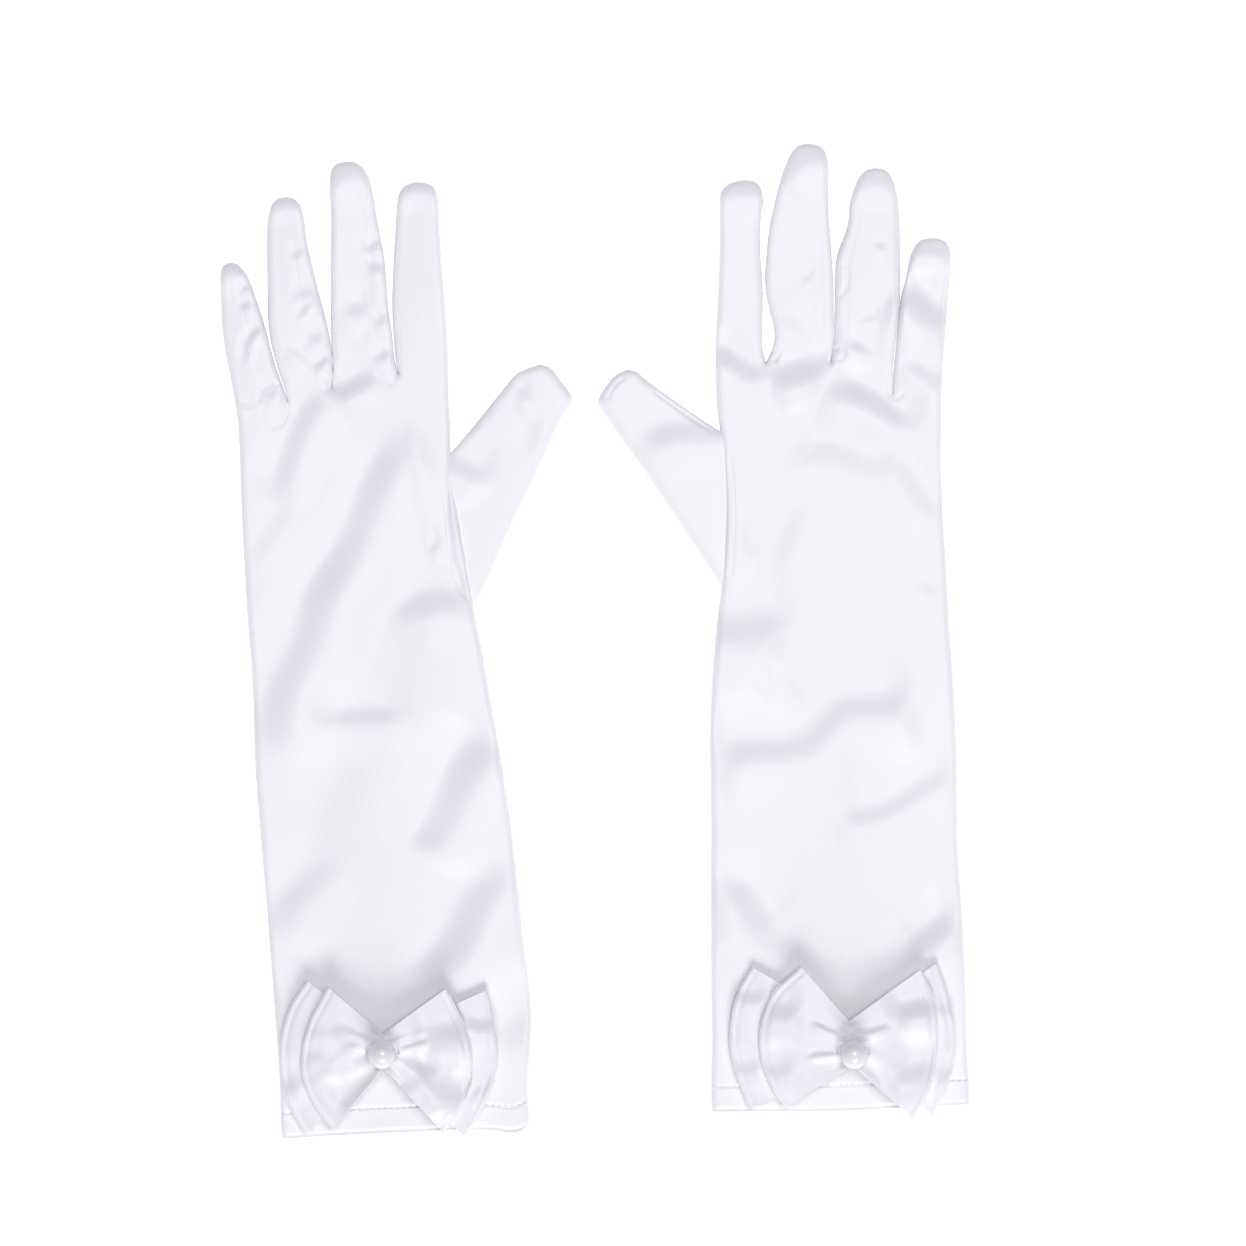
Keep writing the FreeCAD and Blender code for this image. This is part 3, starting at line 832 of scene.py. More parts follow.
        # Over the last quarter of the way the columns gather into the fingers' columns.
        near_root = ease((t - 0.76) / 0.24)[:, None]
        shares = even * (1 - near_root) + at_root * near_root
        flat = left[:, None] * (1 - shares[..., None]) + right[:, None] * shares[..., None]
        bump = root - (left[-1] * (1 - at_root[:, None]) + right[-1] * at_root[:, None])
        flat += bump * ease((t - 0.8) / 0.2)[:, None, None]
        flat[-1] = root
        hem = flow(self.pattern.hem)
        wanted = np.interp(flat[0, :, 0], hem[:, 0], hem[:, 1])
        fade = 1 - ease(t * self.arm_long / self.hem_fade)
        flat[..., 1] += (wanted - flat[0, :, 1]) * fade[:, None]
        return flat

    def make_body(self) -> None:
        """Sleeve and hand, one cloth from the hem to the finger roots, and the hem's inner band."""
        flat = self.body_flat()
        rows, columns = flat.shape[:2]
        radius, scale = np.full(rows, self.edge_round), np.ones(rows)
        top = self.sheet(self.skin, flat, flat / UV_UNIT, radius, scale, True)
        # The upper layer has every column and the lower one every second, and they share the rims.
        under = flat[:, ::2]
        low = self.sheet(self.skin, under, under / UV_UNIT + UNDER_UV, radius, scale, False)
        body = join([top, low])
        lie = self.pattern.lie
        piece = cloth_object(f"{self.key}_glove_body", body, lie, self.cloth_thick,
                             self.finishes.satin)
        lie.spot(0, self.wrist_y - self.wrist_reach, self.fold_height)
        lie.spot(0, self.wrist_y + self.wrist_reach, self.fold_height)
        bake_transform(piece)
        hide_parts(f"{self.key}_sleeve", f"{self.key}_hand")
        keep = int(np.searchsorted(self.arm_long * self.row_shares(), self.hem_wide)) + 1
        band = join([self.first_rows(top, columns, keep),
                     self.first_rows(low, under.shape[1], keep)])
        band.points = band.points - band.normals * (self.cloth_thick + self.hem_gap)
        hem = cloth_object(f"{self.key}_hem_band", band, lie, self.cloth_thick,
                           self.finishes.satin)
        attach(hem, f"{self.key}_sleeve")
        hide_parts(f"{self.key}_cuff_hem")
        self.top_at = top.points.reshape(rows, columns, 3)

    @staticmethod
    def first_rows(cloth: Cloth, columns: int, keep: int) -> Cloth:
        """The first rows of a grid of cloth."""
        return cloth.part(np.arange(len(cloth.cells)) < (keep - 1) * (columns - 1))

    # ------------------------------------------------------------------ fingers
    def make_finger(self, cut: FingerCut) -> None:
        """One finger: its panel and the strips set into its sides.

        Args:
            cut: the finger's outline and strips.
        """
        lie, key = self.pattern.lie, self.key
        t = np.linspace(0.0, 1.0, FINGER_ROWS)
        left, right = at_shares(flow(cut.little_side), t), at_shares(flow(cut.thumb_side), t)
        right[-1] = left[-1]
        shares = crowded(FINGER_COLUMNS, FINGER_CROWD)
        flat = left[:, None] * (1 - shares[:, None]) + right[:, None] * shares[:, None]
        half = np.linalg.norm(right - left, axis=1) / 2
        steady = np.interp(np.minimum(t, self.steady_share), t, half)
        # A narrow finger is rounded over nearly all its half width, and lies a little thinner.
        radius = np.minimum(self.edge_round, 0.9 * steady)
        radius += (self.edge_round - radius[0]) * (1 - ease(t / 0.1))
        scale = (radius / self.edge_round) ** 0.6
        length = np.linalg.norm(left[-1] - (left[0] + right[0]) / 2)
        uv = np.stack(np.broadcast_arrays((shares - 0.5) * 2 * steady[:, None],
                                          (t * length)[:, None]), axis=-1) / UV_UNIT
        top = self.sheet(self.skin, flat, uv, radius, scale, True)
        low = self.sheet(self.skin, flat[:, ::2], uv[:, ::2] + UNDER_UV, radius, scale, False)
        cloth = join([top, low])
        whose = self.strip_cells(cut, t, shares)
        root = (left[0] + right[0]) / 2
        tip = left[-1]
        aim = (tip - root) / np.linalg.norm(tip - root)
        start, end = root + aim * self.root_start, root + aim * self.root_end
        names = [f"{key}_{cut.name}"] + [f"{key}_{cut.name}_{suffix}" for suffix, _, _ in cut.strips]
        for index, node in enumerate(names):
            part = cloth.part(whose == index)
            piece = cloth_object(f"{node}_cloth", part, lie, self.cloth_thick,
                                 self.finishes.satin)
            lie.spot(*start, self.root_height)
            lie.spot(*end, self.root_height)
            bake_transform(piece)
            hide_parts(node)

    def strip_cells(self, cut: FingerCut, t: np.ndarray, shares: np.ndarray) -> np.ndarray:
        """Which piece each cell of a finger is cut from.

        Args:
            cut: the finger.
            t: its rows, as shares of the way up.
            shares: its columns, as shares of the way across.

        Returns:
            For each cell 0 for the panel, or the number of the strip from 1.
        """
        along = (t[:-1] + t[1:]) / 2
        # A strip keeps its width most of the way and then comes to a blunt point.
        taper = np.sqrt(np.clip(1 - (along / 0.84) ** 8, 0, 1))
        owners = []
        for columns, upper in ((shares, True), (shares[::2], False)):
            middle = (columns[:-1] + columns[1:]) / 2
            whose = np.zeros((len(along), len(middle)), int)
            for index, (_, side, share) in enumerate(cut.strips, start=1):
                reach = (share if upper else self.strip_under) * taper[:, None]
                held = middle < reach if side < 0 else middle > 1 - reach
                whose[held] = index
            owners.append(whose.ravel())
        return np.concatenate(owners)

    def make_thumb(self) -> None:
        """The thumb, its root tucked in behind the side of the hand."""
        p, key = self.pattern, self.key
        t = np.linspace(0.0, 1.0, THUMB_ROWS)
        low, high = at_shares(flow(p.thumb_low), t), at_shares(flow(p.thumb_high), t)
        high[-1] = low[-1]
        shares = crowded(THUMB_COLUMNS, THUMB_CROWD)
        flat = high[:, None] * (1 - shares[:, None]) + low[:, None] * shares[:, None]
        half = np.linalg.norm(high - low, axis=1) / 2
        radius = np.minimum(self.thumb_round, 0.9 * np.interp(np.minimum(t, 0.85), t, half))
        scale = np.ones(len(t))
        out = (low + high) / 2
        aim = out[-1] - out[0]
        length = np.linalg.norm(aim)
        aim = aim / length
        cross = np.array([aim[1], -aim[0]])
        uv = np.stack([flat @ cross, flat @ aim], axis=-1) / UV_UNIT
        top = self.sheet(self.thumb_skin, flat, uv, radius, scale, True)
        under = self.sheet(self.thumb_skin, flat[:, ::2], uv[:, ::2] + UNDER_UV, radius, scale,
                           False)
        cloth = join([top, under])
        piece = cloth_object(f"{key}_thumb_cloth", cloth, p.lie, self.cloth_thick,
                             self.finishes.satin)
        p.lie.spot(36.5, 185, self.thumb_height)
        p.lie.spot(47, 185, self.thumb_height)
        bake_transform(piece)
        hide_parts(f"{key}_thumb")


# ---------------------------------------------------------------------------- bow

BAND_SIDES = 12


@dataclass
class Bow:
    """Two flat bows of doubled satin, one on the other, pinched under a pearl."""

    pattern: Pattern
    finishes: Finishes
    thick: float = 0.45
    ribbon_long: float = 120.0
    ribbon_wide: float = 40.0
    turn_radius: float = 1.1  # of the end fold
    fold_run: float = 6.0     # length of ribbon that goes round it
    pinch_half: float = 0.55  # half the thickness of the pinched ribbon
    pinch_lift: float = 1.8
    puff: float = 0.9
    droop: float = 0.55       # how much flatter a loop is along its two long sides
    pleat: float = 0.5
    pleats: int = 3
    lip_inset: float = 1.9
    lip_wide: float = 0.6
    lip_deep: float = 0.28
    across: int = 48
    outward: int = 45
    round_fold: int = 12
    tie_height: float = 12.0
    tie_half: float = 3.3
    tie_square: float = 0.45  # power of the superellipse that the tie follows
    cloth_gap: float = 0.4    # between the ribbon and the middle of the tie
    thread_radius: float = 0.29
    thread_bend: float = 1.0

    def loop(self, cut: LoopCut) -> Cloth:
        """One loop: the upper layer out from the pinch, round the end fold and back below.

        Args:
            cut: the loop's outline and folds.

        Returns:
            The loop's cloth, its normals outward.
        """
        fold, pinch = flow(cut.fold), flow(cut.pinch)
        u = np.linspace(0, 1, self.across + 1)
        end, start = at_shares(fold, u), at_shares(pinch, u)
        span = np.linalg.norm(end - start, axis=1)
        # The rows are a little closer together near the end fold than near the pinch.
        out = np.linspace(0, 1, self.outward + 1) ** 0.85
        phi = np.linspace(0, math.pi, self.round_fold + 1)
        r = self.turn_radius
        rows, uv = [], []
        reach = (span - r) / span
        side = (u - 0.5) * self.ribbon_wide
        for share in out:
            rows.append(self.loop_row(cut, start, end, share * reach, 1.0, u))
            uv.append(np.stack([side, share * span], axis=-1))
        for a in phi[1:-1]:
            gone = reach + (r / span) * math.sin(a)
            rows.append(self.loop_row(cut, start, end, gone, math.cos(a), u))
            uv.append(np.stack([side, gone * span + 2.0 * a], axis=-1))
        for share in out[::-1][::2]:
            rows.append(self.loop_row(cut, start, end, share * reach, -1.0, u))
            uv.append(np.stack([side, (2 - share) * span + self.fold_run], axis=-1))
        points = np.array(rows)
        cells = grid_cells(len(rows), len(u))
        flat_points = points.reshape(-1, 3)
        row, column = len(out) // 2, self.across // 2
        centre, further = points[row, column], points[row + 1, column]
        if np.cross(points[row, column + 1] - centre, further - centre)[2] < 0:
            cells = cells[:, ::-1]
        normals = smooth_normals(flat_points, cells)
        return Cloth(flat_points, normals, np.array(uv).reshape(-1, 2) / UV_UNIT, cells)

    def loop_row(self, cut: LoopCut, start: np.ndarray, end: np.ndarray, share: np.ndarray,
                 layer: float, u: np.ndarray) -> np.ndarray:
        """Points across the loop at one distance from the pinch.

        Args:
            cut: the loop's outline and folds.
            start: places along the pinch.
            end: places along the end fold.
            share: how far each point is on its way from the pinch to the fold.
            layer: 1 for the upper layer, -1 for the lower one, between them round the fold.
            u: share of the way across the ribbon.

        Returns:
            The points, in mm.
        """
        share = np.broadcast_to(share, u.shape)
        xy = start * (1 - share)[:, None] + end * share[:, None]
        half = self.pinch_half + (self.turn_radius - self.pinch_half) * ease(share / 0.5)
        puff = self.puff * np.sin(math.pi * np.clip(share, 0, 1)) ** 0.8 if layer > 0 else 0.0
        pinch_lift = self.pinch_lift * (1 - ease(share / 0.55))
        droop = 1.0 - self.droop * np.abs(2 * u - 1) ** 2.2
        folds = sum(mark.relief(xy, self.pattern.away) for mark in cut.marks)
        # Pleats start at the pinch and die out half way along the loop.
        pleats = self.pleat * np.cos(u * 2 * math.pi * self.pleats)
        pleats *= (1 - ease((share - 0.08) / 0.5)) * ease(share / 0.1)
        inset = (1.0 - share) * np.linalg.norm(end - start, axis=1) - self.lip_inset
        lip = -self.lip_deep * np.exp(-(inset / self.lip_wide) ** 2)
        # The lower layer is hidden and plain.
        relief = (folds + pleats + lip) * (1.0 if layer > 0 else 0.25 * (layer + 1))
        z = cut.level + pinch_lift + half * layer + puff * droop + relief
        return np.column_stack([xy, z])

    def make(self) -> list[str]:
        """Build the loops, the tie and the pearl's thread.

        Returns:
            The names of the pieces.
        """
        made = []
        p, key = self.pattern, self.pattern.side.value
        for node, cuts in p.loops.items():
            cloth = join([self.loop(cut) for cut in cuts])
            piece = cloth_object(f"{key}_{node}_cloth", cloth, p.lie, self.thick, self.finishes.bow)
            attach(piece, f"{key}_sleeve")
            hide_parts(f"{key}_{node}")
            made.append(piece)
        made += [self.tie(), self.pearl_thread()]
        return [piece.name for piece in made]

    def band(self, name: str, path: np.ndarray, half_wide: float, half_thick: float,
             wide_way: tuple[float, float, float], closed: bool) -> bpy.types.Object:
        """A band or thread along a path.

        Args:
            name: the piece's name.
            path: points in the glove's frame, in mm.
            half_wide: half of its width, in mm.
            half_thick: half of its thickness, in mm.
            wide_way: the direction that its width lies in.
            closed: whether the path is a ring.

        Returns:
            The piece, in sewing thread, riding on the sleeve.
        """
        count = len(path)
        along = np.roll(path, -1, 0) - np.roll(path, 1, 0) if closed else np.gradient(path, axis=0)
        along /= np.linalg.norm(along, axis=1)[:, None]
        wide = np.broadcast_to(np.asarray(wide_way, float), path.shape)
        wide = wide - (wide * along).sum(1)[:, None] * along
        wide /= np.linalg.norm(wide, axis=1)[:, None]
        thick = np.cross(along, wide)
        a = np.linspace(0, 2 * math.pi, BAND_SIDES + 1)[:-1]
        section = (path[:, None] + wide[:, None] * (np.cos(a) * half_wide)[None, :, None]
                   + thick[:, None] * (np.sin(a) * half_thick)[None, :, None])
        points = self.pattern.lie.place(section.reshape(-1, 3))
        faces = []
        loops = count if closed else count - 1
        for i in range(loops):
            j = (i + 1) % count
            for k in range(BAND_SIDES):
                m = (k + 1) % BAND_SIDES
                faces.append([i * BAND_SIDES + k, i * BAND_SIDES + m,
                              j * BAND_SIDES + m, j * BAND_SIDES + k])
        if not closed:
            ends = list(range(BAND_SIDES))
            faces += [ends[::-1], [(count - 1) * BAND_SIDES + k for k in ends]]
        if not self.pattern.lie.mirrored:
            faces = [f[::-1] for f in faces]
        mesh = bpy.data.meshes.new(name)
        mesh.from_pydata(points.tolist(), [], faces)
        mesh.polygons.foreach_set("use_smooth", [True] * len(mesh.polygons))
        layer = mesh.uv_layers.new(name="cut")
        layer.data.foreach_set("uv", np.zeros(len(mesh.loops) * 2, np.float32))
        mesh.materials.append(self.finishes.thread)
        mesh.validate()
        piece = bpy.data.objects.new(name, mesh)
        bpy.context.scene.collection.objects.link(piece)
        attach(piece, f"{self.pattern.side.value}_sleeve")
        return piece

    def tie(self) -> bpy.types.Object:
        """The thread wound round the middle of both bows.

        Returns:
            The piece.
        """
        key = self.pattern.side.value
        x, y = self.pattern.pinch_centre
        a = np.linspace(0, 2 * math.pi, self.across + 1)[:-1]
        half = self.pattern.pinch_half + self.cloth_gap
        power = self.tie_square
        path = np.column_stack([
            np.full(len(a), x),
            y + half * np.sign(np.cos(a)) * np.abs(np.cos(a)) ** power,
            self.tie_height + self.tie_half * np.sign(np.sin(a)) * np.abs(np.sin(a)) ** power])
        piece = self.band(f"{key}_bow_tie", path, 1.0, 0.3, (1, 0, 0), True)
        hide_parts(f"{key}_bow_gather")
        return piece

    def pearl_thread(self) -> bpy.types.Object:
        """The thread through the pearl, down into the bow at both sides.

        Returns:
            The piece.
        """
        key = self.pattern.side.value
        low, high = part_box(f"{key}_pearl")
        centre = (Vector(low) + Vector(high)) / 2 / MM
        low_t, high_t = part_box(f"{key}_pearl_thread")
        half = (high_t[0] - low_t[0]) / 2 / MM - 0.3
        drop = centre.z - low_t[2] / MM
        a, bend = np.linspace(0, math.pi / 2, 9), self.thread_bend
        right = np.column_stack([half - bend + bend * np.sin(a), np.zeros(len(a)),
                                 -bend + bend * np.cos(a)])
        path = np.vstack([[[half, 0, -drop]], right[::-1], right * (-1, 1, 1), [[-half, 0, -drop]]])
        local = self.pattern.lie.own(path + np.array(centre))
        radius = self.thread_radius
        piece = self.band(f"{key}_pearl_stitch", local, radius, radius, (0, 1, 0), False)
        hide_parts(f"{key}_pearl_thread")
        return piece


# ---------------------------------------------------------------------------- stitches

@dataclass
class HemStitches:
    """The row of stitches that holds the cuff's turned-up hem."""

    glove: Glove
    pitch: float = 1.9
    long: float = 1.25
    radius: float = 0.14
    jitter: float = 0.05      # radians; hand-guided stitches don't all point the same way
    seed: int = 7

    def tree(self) -> bpy.types.NodeTree:
        """Node group that sets stitches along a line.

        Returns:
            The group, which takes a line of edges and gives plain, dyed stitches.
        """
        group = bpy.data.node_groups.new("RowOfStitches", "GeometryNodeTree")
        face = group.interface
        face.new_socket("Line", in_out="INPUT", socket_type="NodeSocketGeometry")
        for name, size in (("Pitch", self.pitch), ("Long", self.long), ("Radius", self.radius)):
            face.new_socket(name, in_out="INPUT",
                            socket_type="NodeSocketFloat").default_value = size * MM
        face.new_socket("Jitter", in_out="INPUT",
                        socket_type="NodeSocketFloat").default_value = self.jitter
        face.new_socket("Seed", in_out="INPUT",
                        socket_type="NodeSocketInt").default_value = self.seed
        face.new_socket("Thread", in_out="INPUT", socket_type="NodeSocketMaterial")
        face.new_socket("Stitches", in_out="OUTPUT", socket_type="NodeSocketGeometry")
        given = add_node(group, "NodeGroupInput").outputs
        curve = add_node(group, "GeometryNodeMeshToCurve", {}, {"Mesh": given["Line"]})
        spaced = add_node(group, "GeometryNodeResampleCurve", {"mode": "LENGTH"},
                          {"Curve": curve.outputs[0], "Length": given["Pitch"]})
        tangent = add_node(group, "GeometryNodeInputTangent")
        wobble = add_node(group, "FunctionNodeRandomValue", {"data_type": "FLOAT"},
                          {"Seed": given["Seed"]})
        spread = add_node(group, "ShaderNodeMath", {"operation": "MULTIPLY"},
                          {0: wobble.outputs[1], 1: given["Jitter"]})
        aim = add_node(group, "FunctionNodeAlignEulerToVector", {"axis": "Z"},
                       {"Vector": tangent.outputs[0]})
        turn = add_node(group, "ShaderNodeCombineXYZ", {}, {"Z": spread.outputs[0]})
        turned = add_node(group, "FunctionNodeRotateEuler", {},
                          {"Rotation": aim.outputs[0], "Rotate By": turn.outputs[0]})
        stitch = add_node(group, "GeometryNodeMeshUVSphere", {"Segments": 10, "Rings": 8},
                          {"Radius": given["Radius"]})
        radii = add_node(group, "ShaderNodeMath", {"operation": "DIVIDE"},
                         {0: given["Long"], 1: given["Radius"]})
        long = add_node(group, "ShaderNodeMath", {"operation": "MULTIPLY", 1: 0.5},
                        {0: radii.outputs[0]})
        shape = add_node(group, "ShaderNodeCombineXYZ", {"X": 1.0, "Y": 1.0},
                         {"Z": long.outputs[0]})
        placed = add_node(group, "GeometryNodeInstanceOnPoints", {},
                          {"Points": spaced.outputs[0], "Instance": stitch.outputs[0],
                           "Rotation": turned.outputs[0], "Scale": shape.outputs[0]})
        real = add_node(group, "GeometryNodeRealizeInstances", {},
                        {"Geometry": placed.outputs[0]})
        smooth = add_node(group, "GeometryNodeSetShadeSmooth", {}, {"Geometry": real.outputs[0]})
        dyed = add_node(group, "GeometryNodeSetMaterial", {},
                        {"Geometry": smooth.outputs[0], "Material": given["Thread"]})
        add_node(group, "NodeGroupOutput", {}, {"Stitches": dyed.outputs[0]})
        return group

    def make(self) -> bpy.types.Object:
        """Lay the row on the sleeve and turn it into a plain mesh.

        Returns:
            The piece.
        """
        glove = self.glove
        row = int(np.searchsorted(glove.arm_long * glove.row_shares(), glove.stitch_y))
        # The row stops short of both sides, and each stitch is sunk a little into the cloth.
        line = glove.top_at[row][4:-4] + (0, 0, self.radius * 0.4)
        points = glove.pattern.lie.place(line)
        mesh = bpy.data.meshes.new("stitch_line")
        mesh.from_pydata(points.tolist(), [(i, i + 1) for i in range(len(points) - 1)], [])
        guide = bpy.data.objects.new("stitch_line", mesh)
        bpy.context.scene.collection.objects.link(guide)
        group = bpy.data.node_groups.get("RowOfStitches") or self.tree()
        modifier = guide.modifiers.new("stitches", "NODES")
        modifier.node_group = group
        socket = {item.name: item.identifier for item in group.interface.items_tree}
        modifier[socket["Thread"]] = glove.finishes.thread
        bpy.context.view_layer.update()
        graph = bpy.context.evaluated_depsgraph_get()
        name = f"{glove.key}_hem_stitches"
        made = bpy.data.meshes.new_from_object(guide.evaluated_get(graph))
        made.name = name
        piece = bpy.data.objects.new(name, made)
        bpy.context.scene.collection.objects.link(piece)
        bpy.data.objects.remove(guide)
        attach(piece, f"{glove.key}_sleeve")
        return piece


# ---------------------------------------------------------------------------- studio

@dataclass(frozen=True)
class Studio:
    """Plain pale floor, soft light, and the camera that looks straight down."""

    middle: tuple[float, float] = (0.0087, 0.0057)
    view_width: float = 0.3834
    camera_height: float = 1.6
    aim_height: float = 0.004     # the gloves' middle height, where view_width is met
    sensor: float = 36.0
    floor_half: float = 3.0
    floor_drop: float = 0.0002
    floor_colour: str = "ffffff"
    floor_glow: float = 0.5
    sky: str = "dbe0fd"
    sky_strength: float = 0.3
    key_colour: str = "fffdfa"
    key_power: float = 73.0
    top_power: float = 13.6

    def area_light(self, name: str, place: tuple[float, float, float], size: float,
                   power: float) -> None:
        """One square soft light that faces the gloves.

        Args:
            name: the lamp's name.
            place: where it hangs, in metres.
            size: its side, in metres.
            power: its power, in watts.
        """
        lamp = bpy.data.lights.new(name, "AREA")
        lamp.shape, lamp.size, lamp.energy = "SQUARE", size, power
        lamp.color = linear(self.key_colour)[:3]
        piece = bpy.data.objects.new(name, lamp)
        piece.location = place
        aim = Vector((*self.middle, 0.0)) - Vector(place)
        piece.rotation_euler = aim.to_track_quat("-Z", "Y").to_euler()
        bpy.context.scene.collection.objects.link(piece)

    def build(self) -> None:
        """Make the floor, lights, camera and world."""
        scene = bpy.context.scene
        mesh = bpy.data.meshes.new("floor")
        half, low = self.floor_half, -self.floor_drop
        mesh.from_pydata([(-half, -half, low), (half, -half, low), (half, half, low),
                          (-half, half, low)], [], [(0, 1, 2, 3)])
        # Matt white paper with a little light of its own: it stays white in the gloves' shadow.
        mesh.materials.append(Plain("studio_floor", self.floor_colour, 0.9,
                                    glow=self.floor_glow).build())
        floor = bpy.data.objects.new("floor", mesh)
        scene.collection.objects.link(floor)
        # The key light comes in low from the cuffs' end, so every fold has a grey far side.
        self.area_light("key", (0.3, -2.9, 2.3), 1.7, self.key_power)
        self.area_light("top", (0.17, 0.2, 1.75), 0.7, self.top_power)
        camera = bpy.data.cameras.new("camera")
        camera.sensor_width = self.sensor
        camera.lens = self.sensor * (self.camera_height - self.aim_height) / self.view_width
        eye = bpy.data.objects.new("camera", camera)
        eye.location = (*self.middle, self.camera_height)
        scene.collection.objects.link(eye)
        scene.camera = eye
        world = bpy.data.worlds.new("studio")
        world.use_nodes = True
        shade = world.node_tree.nodes["Background"]
        shade.inputs["Color"].default_value = linear(self.sky)
        shade.inputs["Strength"].default_value = self.sky_strength
        scene.world = world
        scene.view_settings.view_transform = "Standard"


# ---------------------------------------------------------------------------- measured gloves

